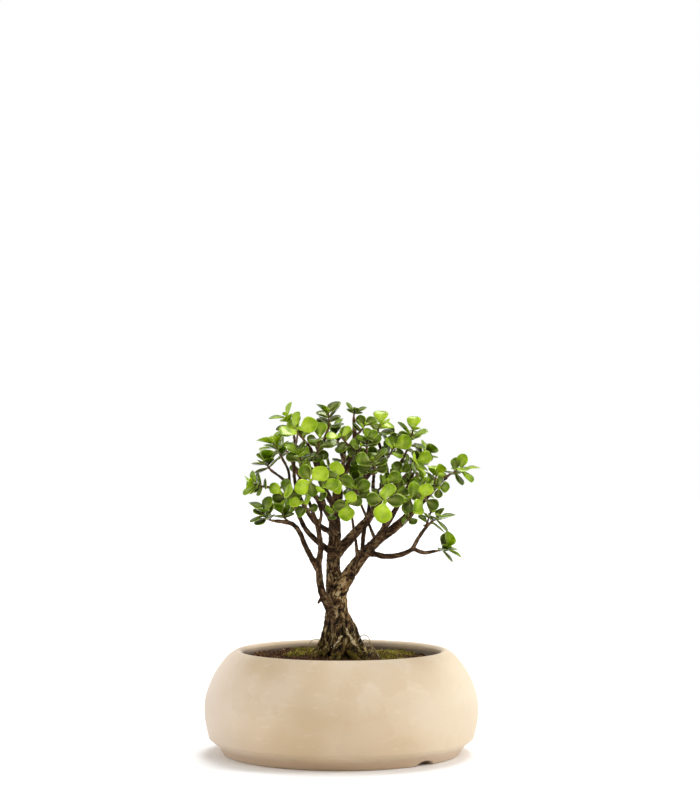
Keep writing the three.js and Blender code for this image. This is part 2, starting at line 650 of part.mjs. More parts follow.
// A blade with few sides: a flat underside, and a low peak above it
function blade(leaf) {
  const rim = LEAF_OUTLINE.map(([u, edge]) => (
    leafPoint(leaf, u, edge * leafHalfWidth(u), -LEAF_THICKNESS / 3)));
  const peak = leafPoint(leaf, LEAF_PEAK, 0, LEAF_THICKNESS * 2 / 3);
  const geometry = new THREE.BufferGeometry().setFromPoints([...rim, peak]);
  const faces = rim.map((_, i) => [rim.length, i, (i + 1) % rim.length]);
  for (let i = 2; i < rim.length; i += 1) {
    faces.push([1, (i + 1) % rim.length, i]);
  }
  return solid(geometry.setIndex(faces.flat()));
}

function spray({ twig, leaves }) {
  return fuse([taperedTube(twig, twigRadius, TWIG_SIDES, TWIG_STEPS), ...leaves.map(blade)]);
}

// Assembly

addPiece("pot", pot(), MATERIALS.stoneware);
addPiece("drain_mesh", drainNet(), MATERIALS.net);
addPiece("soil", filling().subtract(netPocket()).subtract(trunkBase(GAP)), MATERIALS.soil);
addPiece("trunk", wood(), MATERIALS.bark);
growCrown().forEach((growth, index) => {
  const limbName = SPRAYS[index][0];
  const number = SPRAYS.slice(0, index + 1).filter(([name]) => name === limbName).length;
  addPiece(`spray_${limbName}_${number}`, spray(growth), MATERIALS.leaf);
});

export default bonsai;
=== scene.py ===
# %% [markdown]
# # A potted dwarf jade bonsai
#
# A small succulent tree in a round, unglazed bowl. Five things make its look: the smooth matte
# clay, the dark crumbly soil with its moss, the grey-brown bark that splits and wrinkles along
# the wood, the thin brown twigs, and the fleshy leaves that stand on them in pairs. The model
# from the CAD step is loaded first. Every piece made here takes its place from the same few
# sizes as that model, in millimetres, so nothing has to be fitted.

# %% Load the model
import math

import bmesh
import bpy
import numpy as np
from mathutils import Matrix, Quaternion, Vector, kdtree, noise
from mathutils.bvhtree import BVHTree


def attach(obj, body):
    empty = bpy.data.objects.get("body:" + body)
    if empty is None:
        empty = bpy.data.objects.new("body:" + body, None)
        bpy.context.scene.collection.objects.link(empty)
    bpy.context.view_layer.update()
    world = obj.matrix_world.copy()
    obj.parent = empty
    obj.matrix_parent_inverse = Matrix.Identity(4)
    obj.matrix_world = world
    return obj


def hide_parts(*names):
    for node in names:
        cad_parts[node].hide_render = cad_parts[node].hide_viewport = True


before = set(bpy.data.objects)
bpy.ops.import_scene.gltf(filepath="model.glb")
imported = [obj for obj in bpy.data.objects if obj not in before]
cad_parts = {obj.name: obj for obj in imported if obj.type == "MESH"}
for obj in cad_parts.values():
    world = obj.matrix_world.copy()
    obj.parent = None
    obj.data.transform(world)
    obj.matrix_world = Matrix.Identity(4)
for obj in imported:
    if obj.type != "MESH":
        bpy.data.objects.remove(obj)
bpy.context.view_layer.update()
print("CAD nodes:", len(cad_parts))

# %% [markdown]
# ## Helpers
#
# Sizes are written in millimetres and turned to metres where a mesh is made. Colours are
# written as sRGB hex values, as a colour picker shows them, and one function turns them to the
# linear values that shaders use. One small function adds any shader node with its settings and
# links, and every finish below is built from calls of it. A finish starts from a plain colour
# ramp, and further tones are laid over it by Mix nodes, whose factor is input 0, whose two
# colours are inputs 6 and 7, and whose mixed colour is output 2.

# %% Units, colours and nodes
MM = 0.001


def rgb(text):
    """Linear RGBA of an sRGB hex colour"""
    values = [int(text[i:i + 2], 16) / 255 for i in (1, 3, 5)]
    return [v / 12.92 if v <= 0.04045 else ((v + 0.055) / 1.055) ** 2.4 for v in values] + [1.0]


def add(tree, kind, inputs=(), out=0, stops=(), **settings):
    """Adds a shader node with its settings and links, and gives one of its outputs

    Inputs are named, or listed in the node's own order. Each is a value, an sRGB hex colour, or
    another node's output to link to. Stops are the positions and colours of a colour ramp.
    """
    node = tree.nodes.new(kind)
    for field, value in settings.items():
        setattr(node, field, value)
    for name, value in inputs.items() if isinstance(inputs, dict) else enumerate(inputs):
        if isinstance(value, bpy.types.NodeSocket):
            tree.links.new(value, node.inputs[name])
        else:
            node.inputs[name].default_value = rgb(value) if isinstance(value, str) else value
    elements = node.color_ramp.elements if stops else ()
    while len(elements) < len(stops):
        elements.new(0.5)
    for element, (position, color) in zip(elements, stops):
        element.position = position
        element.color = rgb(color)
    return node.outputs[out]


def scale_of(size):
    """The scale of a noise whose lumps are about size millimetres wide"""
    return 1 / (size * MM)


def new_material(name, **values):
    """A material and its Principled shader, with values for the shader's own sockets"""
    material = bpy.data.materials.new(name)
    material.use_nodes = True
    shader = material.node_tree.nodes["Principled BSDF"]
    for socket, value in values.items():
        shader.inputs[socket.replace("_", " ")].default_value = value
    return material, material.node_tree, shader


def finish_with(tree, shader, color, relief):
    """Links a finish's colour and its relief to the shader"""
    tree.links.new(color, shader.inputs["Base Color"])
    tree.links.new(relief, shader.inputs["Normal"])


# %% Pieces
def placed(name, data):
    """An object of a mesh, curve, light or camera, in the scene"""
    item = bpy.data.objects.new(name, data)
    bpy.context.scene.collection.objects.link(item)
    return item


def show(name, mesh, materials, replaces=()):
    """An object of a finished mesh, smooth, riding on the part's one body"""
    piece = placed(name, mesh)
    for material in materials:
        mesh.materials.append(material)
    mesh.shade_smooth()
    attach(piece, "root")
    if replaces:
        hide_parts(*replaces)
    print(f"{name}: {len(mesh.polygons)} faces")
    return piece


def mesh_of(bm, name):
    """The mesh of a bmesh that is in millimetres"""
    bmesh.ops.scale(bm, vec=(MM, MM, MM), verts=bm.verts)
    mesh = bpy.data.meshes.new(name)
    bm.to_mesh(mesh)
    bm.free()
    return mesh


def baked(holder, name):
    """The mesh of an object with its modifiers or bevel applied; the object is then removed"""
    bpy.context.view_layer.update()
    depsgraph = bpy.context.evaluated_depsgraph_get()
    mesh = bpy.data.meshes.new_from_object(holder.evaluated_get(depsgraph))
    mesh.name = name
    bpy.data.objects.remove(holder)
    return mesh


def lerp(first, second, share):
    return first + (second - first) * share


# %% [markdown]
# ## The studio
#
# The tree stands on a white table in even, soft light, as a plant is pictured for a catalogue.
# Suns with wide discs stand for the soft boxes, because they light the whole table alike and so
# leave no horizon. One stands at each side, the right one stronger, one is above and a little
# behind and lights the crown's upper leaves, and a small one in front shows as a highlight on
# waxy leaves. The room's own light is stronger from behind. The camera stands 1.47 m away at the
# height of the crown, with a long lens, so that little of the soil is seen over the rim.

# %% Camera, table and lights
CAMERA_PLACE = (6.2, -1465, 226.5)
CAMERA_AIM = (6.2, 0, 256.9)
LENS = 90
SENSOR_HEIGHT = 36
NEAR_CLIP = 0.01
TABLE_SIZE = 6000
SUNS = [
    ("light_right", (85, -14, 48), 1.4, 20),
    ("light_left", (-85, -10, 40), 0.8, 40),
    ("light_top", (10, 30, 80), 1.95, 28),
    ("light_window", (28, -60, 60), 0.35, 16),
]

scene = bpy.context.scene
scene.view_settings.view_transform = "Standard"
camera_data = bpy.data.cameras.new("camera")
camera_data.lens = LENS
camera_data.sensor_fit = "VERTICAL"
camera_data.sensor_height = SENSOR_HEIGHT
camera_data.clip_start = NEAR_CLIP
camera = placed("camera", camera_data)
camera.location = Vector(CAMERA_PLACE) * MM
sight = (Vector(CAMERA_AIM) - Vector(CAMERA_PLACE)) * MM
camera.rotation_euler = sight.to_track_quat("-Z", "Y").to_euler()
scene.camera = camera

for name, place, strength, disc in SUNS:
    sun_data = bpy.data.lights.new(name, "SUN")
    sun_data.energy = strength
    sun_data.angle = math.radians(disc)
    sun = placed(name, sun_data)
    sun.rotation_euler = (-Vector(place)).to_track_quat("-Z", "Y").to_euler()

# Matte white laminate takes the bowl's soft shadow and shows no gloss
laminate, tree, shader = new_material("white_table_laminate", Roughness=0.9, Specular_IOR_Level=0.1)
place = add(tree, "ShaderNodeTexCoord", out="Object")
haze = add(tree, "ShaderNodeTexNoise", {"Vector": place, "Scale": scale_of(120)})
whites = add(tree, "ShaderNodeValToRGB", (haze,), stops=[(0, "#fafafa"), (1, "#fdfdfd")])
tree.links.new(whites, shader.inputs["Base Color"])
bm = bmesh.new()
bmesh.ops.create_grid(bm, x_segments=1, y_segments=1, size=TABLE_SIZE)
table = placed("table", mesh_of(bm, "table"))
table.data.materials.append(laminate)
print("lights:", len(SUNS), "and the camera", round(sight.length, 3), "m from its aim")

# %% World light
WORLD_LIGHT_FRONT, WORLD_LIGHT_BACK = 0.4, 0.64
world = bpy.data.worlds.new("studio")
world.use_nodes = True
scene.world = world
tree = world.node_tree
background = tree.nodes["Background"]
seen = add(tree, "ShaderNodeLightPath", out="Is Camera Ray")
way = add(tree, "ShaderNodeTexCoord", out="Generated")
depth = add(tree, "ShaderNodeSeparateXYZ", (way,), "Y")
tent = add(tree, "ShaderNodeMapRange", (depth, -1, 1, WORLD_LIGHT_FRONT, WORLD_LIGHT_BACK))
strength = add(tree, "ShaderNodeMix", {0: seen, 2: tent, 3: 1.0}, data_type="FLOAT")
tree.links.new(strength, background.inputs["Strength"])
background.inputs["Color"].default_value = (1, 1, 1, 1)
print("room light:", WORLD_LIGHT_FRONT, "in front,", WORLD_LIGHT_BACK, "behind")

# %% [markdown]
# ## The bowl
#
# The real bowl was thrown on a wheel: one round wall of stoneware that swells out, turns in to
# a narrow mouth and ends in a rolled lip, on a low foot ring. A potter's profile, turned about
# its axis, is the way to make it, so the profile is drawn as a chain of points and spun. Its
# corners are rounded first, because wet clay has no sharp edge. Two small arches in the foot
# let water out. They are cut by one bar that lies across the whole foot.

# %% Sizes of the bowl
GAP = 0.3
FOOT_INNER_RADIUS = 70
FOOT_RADIUS = 86
FOOT_HOLLOW = 4
CREASE = (89.5, 6)
OUTER_WALL = [(96.6, 11.5), (99.55, 25), (99.45, 40), (93.5, 56.2), (84.4, 69.2), (77.6, 74.3)]
LIP_RADIUS = 3.2
LIP_ARC = (75, 170)
LIP_DROP = 0.9
LIP_POINTS = 10
INNER_WALL = [(73.4, 70), (80, 63), (87, 53), (92.4, 40), (92.4, 26), (87, 15)]
FLOOR_RADIUS = 80
FLOOR_HEIGHT = 12
DRAIN_RADIUS = 11
NOTCH_WIDTH = 16
NOTCH_HEIGHT = 3.7
NOTCH_AZIMUTH = 43
BOWL_RADIUS = OUTER_WALL[1][0]
OUTER_STEPS, INNER_STEPS = 12, 5
SHARP_ROUND, FOOT_ROUND, RING_ROUND, CREASE_ROUND, FLOOR_ROUND = 1, 0.8, 1.4, 2.2, 2
POT_SIDES = 192
HAND_WOBBLE = 0.35
FLAT_FOOT = 0.5
WOBBLE_LENGTH = 45
FOOT_WOBBLE_LENGTH, FOOT_WOBBLE_TOP = 14, 14
WELD = 0.001


def flow(points, steps):
    """Points of a smooth curve through points, steps to each span"""
    ends = [points[0], *points, points[-1]]
    path = []
    for i in range(len(points) - 1):
        before, start, end, after = (np.array(p, float) for p in ends[i:i + 4])
        for t in np.arange(steps) / steps:
            slope_start, slope_end = (end - start + start - before) / 2, (after - start) / 2
            path.append(hermite(start, end, slope_start, slope_end, t))
    return [*path, np.array(points[-1], float)]


def hermite(start, end, slope_start, slope_end, t):
    """The point at t of a cubic from start to end with those slopes at its ends"""
    bend = 3 * (end - start) - 2 * slope_start - slope_end
    curl = 2 * (start - end) + slope_start + slope_end
    return start + slope_start * t + bend * t ** 2 + curl * t ** 3


def rounded(before, corner, after, radius, steps=4):
    """A corner turned into a small curve that starts and ends radius away from it"""
    before, corner, after = (np.array(p, float) for p in (before, corner, after))
    start = corner + (before - corner) * radius / np.linalg.norm(before - corner)
    end = corner + (after - corner) * radius / np.linalg.norm(after - corner)
    shares = np.linspace(0, 1, steps + 1)
    return [(1 - t) ** 2 * start + 2 * t * (1 - t) * corner + t * t * end for t in shares]


# %% Profile of the bowl
def pot_profile():
    """The bowl's section, from the drain hole round the foot and lip and back to its floor"""
    lip_x = OUTER_WALL[-1][0] - LIP_RADIUS / 2
    lip_z = OUTER_WALL[-1][1] - LIP_DROP * LIP_RADIUS
    turns = np.radians(np.linspace(*LIP_ARC, LIP_POINTS))
    lip = [np.array([lip_x + LIP_RADIUS * math.cos(a), lip_z + LIP_RADIUS * math.sin(a)]) for a in turns]
    foot_inner, foot_outer = (FOOT_INNER_RADIUS, 0), (FOOT_RADIUS, 0)
    hollow, hole_low = (FOOT_INNER_RADIUS, FOOT_HOLLOW), (DRAIN_RADIUS, FOOT_HOLLOW)
    hole_high, floor = (DRAIN_RADIUS, FLOOR_HEIGHT), (FLOOR_RADIUS, FLOOR_HEIGHT)
    return [
        *rounded(hole_high, hole_low, hollow, SHARP_ROUND),
        *rounded(hole_low, hollow, foot_inner, SHARP_ROUND),
        *rounded(hollow, foot_inner, foot_outer, FOOT_ROUND),
        *rounded(foot_inner, foot_outer, CREASE, RING_ROUND),
        *rounded(foot_outer, CREASE, OUTER_WALL[0], CREASE_ROUND),
        *flow(OUTER_WALL, OUTER_STEPS),
        *lip,
        *flow(INNER_WALL, INNER_STEPS),
        *rounded(INNER_WALL[-1], floor, hole_high, FLOOR_ROUND),
        *rounded(floor, hole_high, hole_low, SHARP_ROUND),
    ]


def spun(profile, sides, closed=True):
    """A profile of radius and height turned about the upright axis; an open one ends on the axis"""
    bm = bmesh.new()
    corners = [bm.verts.new((r, 0, z)) for r, z in profile]
    chain = [bm.edges.new(pair) for pair in zip(corners, corners[1:])]
    if closed:
        chain.append(bm.edges.new((corners[-1], corners[0])))
    bmesh.ops.spin(
        bm, geom=corners + chain, axis=(0, 0, 1), cent=(0, 0, 0), steps=sides,
        angle=math.tau, use_merge=True)
    bmesh.ops.remove_doubles(bm, verts=bm.verts, dist=WELD)
    bmesh.ops.recalc_face_normals(bm, faces=bm.faces)
    return bm


bm = spun(pot_profile(), POT_SIDES)
for vert in bm.verts:
    radius = math.hypot(vert.co.x, vert.co.y)
    low = max(0, 1 - vert.co.z / FOOT_WOBBLE_TOP) if vert.co.z > FLAT_FOOT else 0
    slow = noise.noise(vert.co / WOBBLE_LENGTH) + 2 * low * noise.noise(vert.co / FOOT_WOBBLE_LENGTH)
    vert.co.xy *= 1 - HAND_WOBBLE * (1 + slow) / 2 / max(radius, DRAIN_RADIUS)
pot_body = mesh_of(bm, "pot_body")
print("thrown bowl:", len(pot_body.polygons), "faces")

# %% Cut the two arches
ARCH_POINTS = 17
BAR_BOTTOM = -1
BAR_MARGIN = 2
RIM_SOFTNESS = 0.5
bm = bmesh.new()
half = NOTCH_WIDTH / 2
angles = np.linspace(0, math.pi, ARCH_POINTS)
arch = [(half * math.cos(a), 0, NOTCH_HEIGHT * math.sin(a)) for a in angles]
outline = [bm.verts.new(point) for point in [(half, 0, BAR_BOTTOM), *arch, (-half, 0, BAR_BOTTOM)]]
end_face = bm.faces.new(outline)
far_side = bmesh.ops.extrude_face_region(bm, geom=[end_face])
moved = [item for item in far_side["geom"] if isinstance(item, bmesh.types.BMVert)]
bmesh.ops.translate(bm, verts=moved, vec=(0, 2 * BOWL_RADIUS + 2 * BAR_MARGIN, 0))
bmesh.ops.translate(bm, verts=bm.verts, vec=(0, -BOWL_RADIUS - BAR_MARGIN, 0))
bmesh.ops.rotate(bm, verts=bm.verts, matrix=Matrix.Rotation(math.radians(NOTCH_AZIMUTH), 3, "Z"))
bmesh.ops.recalc_face_normals(bm, faces=bm.faces)
for face in bm.faces:
    face.material_index = 1
bar = placed("bar", mesh_of(bm, "bar"))
pot_holder = placed("pot_holder", pot_body)
for holder in (bar, pot_holder):
    holder.data.materials.append(None)
    holder.data.materials.append(None)
cut = pot_holder.modifiers.new("arches", "BOOLEAN")
cut.operation = "DIFFERENCE"
cut.solver = "EXACT"
cut.object = bar
pot_mesh = baked(pot_holder, "pot_clay")
bpy.data.objects.remove(bar)

# The arches' cut edges are softened, and only those: the bar's faces carry the second material
bm = bmesh.new()
bm.from_mesh(pot_mesh)
rims = [e for e in bm.edges if len({face.material_index for face in e.link_faces}) == 2]
bmesh.ops.bevel(
    bm, geom=rims, offset=RIM_SOFTNESS * MM, affect="EDGES", segments=2, profile=0.5, material=-1)
for face in bm.faces:
    face.material_index = 0
for vert in bm.verts:
    vert.co.z = max(vert.co.z, 0)
bm.to_mesh(pot_mesh)
bm.free()
pot_mesh.materials.clear()
print("softened edges of the arches:", len(rims))

# %% [markdown]
# ## The clay
#
# Unglazed stoneware is matte and a little powdery, so it is nearly white where the light grazes
# it. Fired clay is never one colour: it has soft buff clouds a few centimetres wide, patches with
# a clearer edge where the slip dried last, pale marks a centimetre long where it was rubbed, fine
# sand in it, and a browner foot where the bare ring was wiped and stood on the kiln shelf. All of
# that comes from noise at those real sizes, and the foot's tone from the height. Light and shade
# are painted on as well: the right side lighter and creamier, the left side paler and
# pinkish-grey, and the wall darker towards the bottom. Sand grains of a tenth of a millimetre
# wouldn't show, so they are drawn 0.9 mm wide.

# %% Stoneware
CLAY_LIGHT, CLAY_MID, CLAY_DARK = "#d4c2a8", "#cfb99b", "#c7af8c"
# The two side tones are painted light: lighter cream on the right, paler pinkish-grey on the left
LEFT_SIDE_PAINTED_LIGHT, RIGHT_SIDE_PAINTED_LIGHT = "#d3c2b1", "#d7c6aa"
# The last of these is painted shade, darker towards the bottom of the wall; the others are the clay's
# own marks
DRIED_TONE, RUBBED_TONE, LOW_WALL_PAINTED_SHADE = "#bfa17a", "#dfd1ba", "#bfa27c"
FOOT_TONE, SAND_TONE = "#bea082", "#a68b69"
# Matte fired clay with no glaze: a powdery surface whose colour shifts in soft clouds,
# with painted light on its sides and painted shade low on the wall
stoneware, tree, shader = new_material(
    "unglazed_stoneware", Roughness=0.75, IOR=1.45, Sheen_Weight=0.2, Sheen_Roughness=0.6)
place = add(tree, "ShaderNodeTexCoord", out="Object")
side = add(tree, "ShaderNodeSeparateXYZ", (place,), "X")
height = add(tree, "ShaderNodeSeparateXYZ", (place,), "Z")
flat = add(tree, "ShaderNodeMapping", {"Vector": place, "Scale": (1, 1, 3)})
smears = add(tree, "ShaderNodeTexNoise", {"Vector": flat, "Scale": scale_of(45), "Detail": 3})
smears = add(tree, "ShaderNodeMapRange", (smears, 0.3, 0.7, -0.06, 0.06))
clouds = add(tree, "ShaderNodeTexNoise", {"Vector": place, "Scale": scale_of(60)})
clouds = add(tree, "ShaderNodeMath", (clouds, smears), operation="ADD")
clay = add(tree, "ShaderNodeValToRGB", (clouds,), stops=[
    (0.34, CLAY_DARK), (0.5, CLAY_MID), (0.68, CLAY_LIGHT)])
dried = add(tree, "ShaderNodeTexNoise", {
    "Vector": place, "Scale": scale_of(34), "Detail": 4, "Roughness": 0.55})
rubbed = add(tree, "ShaderNodeTexNoise", {
    "Vector": flat, "Scale": scale_of(14), "Detail": 4, "Roughness": 0.6})
swirl = add(tree, "ShaderNodeTexNoise", {"Vector": place, "Scale": scale_of(40)})
swirl = add(tree, "ShaderNodeMapRange", (swirl, 0, 1, -18 * MM, 18 * MM))
side = add(tree, "ShaderNodeMath", (side, swirl), operation="ADD")
sand = add(tree, "ShaderNodeTexNoise", {"Vector": place, "Scale": scale_of(0.9), "Detail": 1})
wander = add(tree, "ShaderNodeTexNoise", {"Vector": place, "Scale": scale_of(16)})
wander = add(tree, "ShaderNodeMapRange", (wander, 0, 1, -3 * MM, 3 * MM))
ragged_height = add(tree, "ShaderNodeMath", (height, wander), operation="ADD")

# Each tone covers the clay up to its share, as its measure goes from the first value to the next
for measure, start, end, share, tone in [
    (dried, 0.52, 0.57, 0.22, DRIED_TONE),
    (rubbed, 0.58, 0.68, 0.25, RUBBED_TONE),
    # Painted light: the right side, towards the key light, lighter and creamier
    (side, 40 * MM, 92 * MM, 0.75, RIGHT_SIDE_PAINTED_LIGHT),
    # Painted shade: the wall darker towards the bottom, below its swell
    (height, 45 * MM, 12 * MM, 0.25, LOW_WALL_PAINTED_SHADE),
    # Painted light: the left side paler and pinkish-grey, where the fill light and the white room fall
    # on it
    (side, -55 * MM, -95 * MM, 0.8, LEFT_SIDE_PAINTED_LIGHT),
    (sand, 0.68, 0.78, 0.2, SAND_TONE),
    (ragged_height, 9 * MM, 4.5 * MM, 0.6, FOOT_TONE),
]:
    covered = add(tree, "ShaderNodeMapRange", (measure, start, end, 0, share))
    clay = add(tree, "ShaderNodeMix", {0: covered, 6: clay, 7: tone}, 2, data_type="RGBA")
grain = add(tree, "ShaderNodeTexNoise", {"Vector": place, "Scale": scale_of(0.7), "Detail": 3})
grain = add(tree, "ShaderNodeBump", {"Height": grain, "Distance": 0.05 * MM})
dents = add(tree, "ShaderNodeTexNoise", {"Vector": place, "Scale": scale_of(9)})
dents = add(tree, "ShaderNodeBump", {"Height": dents, "Distance": 0.25 * MM, "Normal": grain})
finish_with(tree, shader, clay, dents)
show("pot_clay", pot_mesh, [stoneware], replaces=["pot"])

# %% [markdown]
# ## The drain mesh
#
# A piece of moulded net lies over the hole in the bowl's floor and keeps the soil in. The soil
# hides it, and its shape in the CAD model is right, so that mesh stays. It only gets the finish
# of the real one, black plastic with a little dust in its pores.

# %% Drain mesh
# Moulded polypropylene has a satin black skin, here dulled by dust in soft spots
net_plastic, tree, shader = new_material("moulded_polypropylene_mesh", Roughness=0.5, IOR=1.49)
place = add(tree, "ShaderNodeTexCoord", out="Object")
dust = add(tree, "ShaderNodeTexNoise", {"Vector": place, "Scale": scale_of(6), "Detail": 3})
dust = add(tree, "ShaderNodeMapRange", (dust, 0.5, 0.8, 0, 0.35))
plastic = add(tree, "ShaderNodeMix", {0: dust, 6: "#23282a", 7: "#4a3f33"}, 2, data_type="RGBA")
pores = add(tree, "ShaderNodeTexNoise", {"Vector": place, "Scale": scale_of(0.5)})
relief = add(tree, "ShaderNodeBump", {"Height": pores, "Distance": 0.03 * MM})
finish_with(tree, shader, plastic, relief)
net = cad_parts["drain_mesh"]
net.data.materials.clear()
net.data.materials.append(net_plastic)
print("drain mesh:", len(net.data.polygons), "faces, kept")

# %% [markdown]
# ## The soil
#
# The filling is dark potting soil: crumbs of peat and bark from half a millimetre to three, with
# moss where it stays damp. One solid follows the bowl's inner wall, as the CAD model's does, and
# its top is raised by the same formula with crumbly noise on it. Loose crumbs lie on that top as
# small lumps of 20 faces, since two thousand are needed and each is only a few points wide.

# %% Sizes of the soil
SOIL_HEIGHT = 67
SOIL_EDGE = 66
SOIL_MOUND = 3
SOIL_MOUND_RADIUS = 34
SOIL_TILT = 0.018
SOIL_RIPPLE = 0.5
SOIL_WAVES = (0.21, 0.17, 0.09)
SOIL_SIDES = 256
RING_STEP = 1.0
SHOULDER = 5.5
CLOD_WIDTH, CLOD_HEIGHT = 4.5, 1.1
LUMP_WIDTH, LUMP_HEIGHT = 1.9, 0.8
GRIT_WIDTH, GRIT_HEIGHT = 1.1, 0.4
CUSHION_WIDTH, CUSHION_HEIGHT = 5, 1.5
CRUMB_COUNT = 2600
CRUMB_SMALLEST, CRUMB_SPREAD = 0.35, 1.0
CRUMB_SHAPE = (1.3, 0.9, 0.65)
CRUMB_LIFT = 0.2
BARE_CRUMB = 0.9
MOSS_PATCHES = [
    (50, -14, 25), (30, -46, 17), (-30, 14, 13), (-20, 48, 20), (34, 42, 24), (-55, -24, 12)]
MOSS_FULLNESS = 3
rng = np.random.default_rng(31)


def soil_top(x, y):
    """Height of the smooth soil, as in the CAD model"""
    mound = SOIL_MOUND * math.exp(-((x * x + y * y) / SOIL_MOUND_RADIUS ** 2))
    wave, cross_wave, long_wave = SOIL_WAVES
    ripple = math.sin(wave * x + 1) * math.cos(cross_wave * y) + math.sin(long_wave * (x + 2 * y))
    return SOIL_HEIGHT - SOIL_TILT * x + mound + SOIL_RIPPLE * ripple


def moss_at(x, y):
    """How far inside a moss patch a place is: 0 at its ragged edge, 1 well inside"""
    ragged = 0.35 * noise.noise(Vector((x, y, 0)) / 9) + 0.2 * noise.noise(Vector((x, y, 5)) / 3.5)
    depth = max(1 - math.dist((x, y), (px, py)) / size for px, py, size in MOSS_PATCHES)
    return min(max(MOSS_FULLNESS * (depth + ragged), 0), 1)


def crumbly(x, y):
    """Height of the rough surface over the smooth one"""
    spot = Vector((x, y, 0))
    rough = CLOD_HEIGHT * noise.noise(spot / CLOD_WIDTH)
    rough += LUMP_HEIGHT * abs(noise.noise(spot / LUMP_WIDTH))
    rough += GRIT_HEIGHT * noise.noise(spot / GRIT_WIDTH)
    swell = 0.7 + 0.6 * noise.noise(spot / CUSHION_WIDTH + Vector((0, 0, 9)))
    return rough + max(CUSHION_HEIGHT * moss_at(x, y) * swell, 0)


# %% Build the filling
wall = flow(INNER_WALL, INNER_STEPS)
side = [(r - GAP, z) for r, z in wall if z < SOIL_EDGE]
edge_radius = side[0][0] - SHOULDER
rings = [(r, SOIL_HEIGHT) for r in np.arange(RING_STEP, edge_radius, RING_STEP)]
floor_height = FLOOR_HEIGHT + GAP
profile = [(0, floor_height), (FLOOR_RADIUS, floor_height), *reversed(side)]
profile += [*reversed(rings), (0, SOIL_HEIGHT)]
bm = spun(profile, SOIL_SIDES, closed=False)
moss_layer = bm.verts.layers.float.new("moss")
for vert in bm.verts:
    if vert.co.z > SOIL_EDGE:
        x, y = vert.co.xy
        vert.co.z = soil_top(x, y) + crumbly(x, y)
        vert[moss_layer] = moss_at(x, y)
soil_mesh = mesh_of(bm, "soil_filling")
print("soil rings:", len(rings))

# %% Loose crumbs
bm = bmesh.new()
for _ in range(CRUMB_COUNT):
    radius, angle = edge_radius * math.sqrt(rng.random()), math.tau * rng.random()
    x, y = radius * math.cos(angle), radius * math.sin(angle)
    size = CRUMB_SMALLEST + CRUMB_SPREAD * rng.random() ** 3
    if moss_at(x, y) > 0.5 and size < BARE_CRUMB:
        continue
    place = Matrix.Translation((x, y, soil_top(x, y) + crumbly(x, y) + CRUMB_LIFT * size))
    turn = Matrix.Rotation(math.tau * rng.random(), 4, Vector(rng.normal(size=3)).normalized())
    stretch = Matrix.Diagonal((*(share * size for share in CRUMB_SHAPE), 1))
    bmesh.ops.create_icosphere(bm, subdivisions=1, radius=1, matrix=place @ turn @ stretch)
crumb_mesh = mesh_of(bm, "soil_crumbs")

# %% Soil and crumb materials
# Damp soil is dark and has no shine, with paler fibres, and green algae where moss grows
soil_finish, tree, shader = new_material(
    "damp_potting_soil", Roughness=0.9, IOR=1.35, Specular_IOR_Level=0.25)
place = add(tree, "ShaderNodeTexCoord", out="Object")
fibres = add(tree, "ShaderNodeTexNoise", {
    "Vector": place, "Scale": scale_of(1.6), "Detail": 4, "Roughness": 0.65})
fibres = add(tree, "ShaderNodeValToRGB", (fibres,), stops=[
    (0.34, "#140903"), (0.5, "#321c0c"), (0.62, "#57391e"), (0.76, "#8f6c45")])
algae = add(tree, "ShaderNodeTexNoise", {"Vector": place, "Scale": scale_of(2.2), "Detail": 3})
algae = add(tree, "ShaderNodeValToRGB", (algae,), stops=[(0.3, "#2b2604"), (0.6, "#5e520f")])
green = add(tree, "ShaderNodeAttribute", out="Fac", attribute_name="moss")
soil_color = add(tree, "ShaderNodeMix", {0: green, 6: fibres, 7: algae}, 2, data_type="RGBA")
grit = add(tree, "ShaderNodeTexNoise", {
    "Vector": place, "Scale": scale_of(0.8), "Detail": 4, "Roughness": 0.7})
relief = add(tree, "ShaderNodeBump", {"Height": grit, "Distance": 0.5 * MM})
finish_with(tree, shader, soil_color, relief)
show("soil_filling", soil_mesh, [soil_finish], replaces=["soil"])

# Crumbs of peat, bark and perlite each have a tone of their own, so the noise is as wide as they
crumb_finish, tree, shader = new_material(
    "peat_and_bark_crumbs", Roughness=0.85, IOR=1.35, Specular_IOR_Level=0.25)
place = add(tree, "ShaderNodeTexCoord", out="Object")
tones = add(tree, "ShaderNodeTexNoise", {
    "Vector": place, "Scale": scale_of(3.2), "Detail": 2, "Roughness": 0.8})
tones = add(tree, "ShaderNodeValToRGB", (tones,), stops=[
    (0.3, "#170b04"), (0.46, "#3d220f"), (0.58, "#6b4726"), (0.68, "#9c7a4e"), (0.76, "#d2bd98")])
grit = add(tree, "ShaderNodeTexNoise", {"Vector": place, "Scale": scale_of(0.5), "Detail": 3})
relief = add(tree, "ShaderNodeBump", {"Height": grit, "Distance": 0.2 * MM})
finish_with(tree, shader, tones, relief)
show("soil_crumbs", crumb_mesh, [crumb_finish])
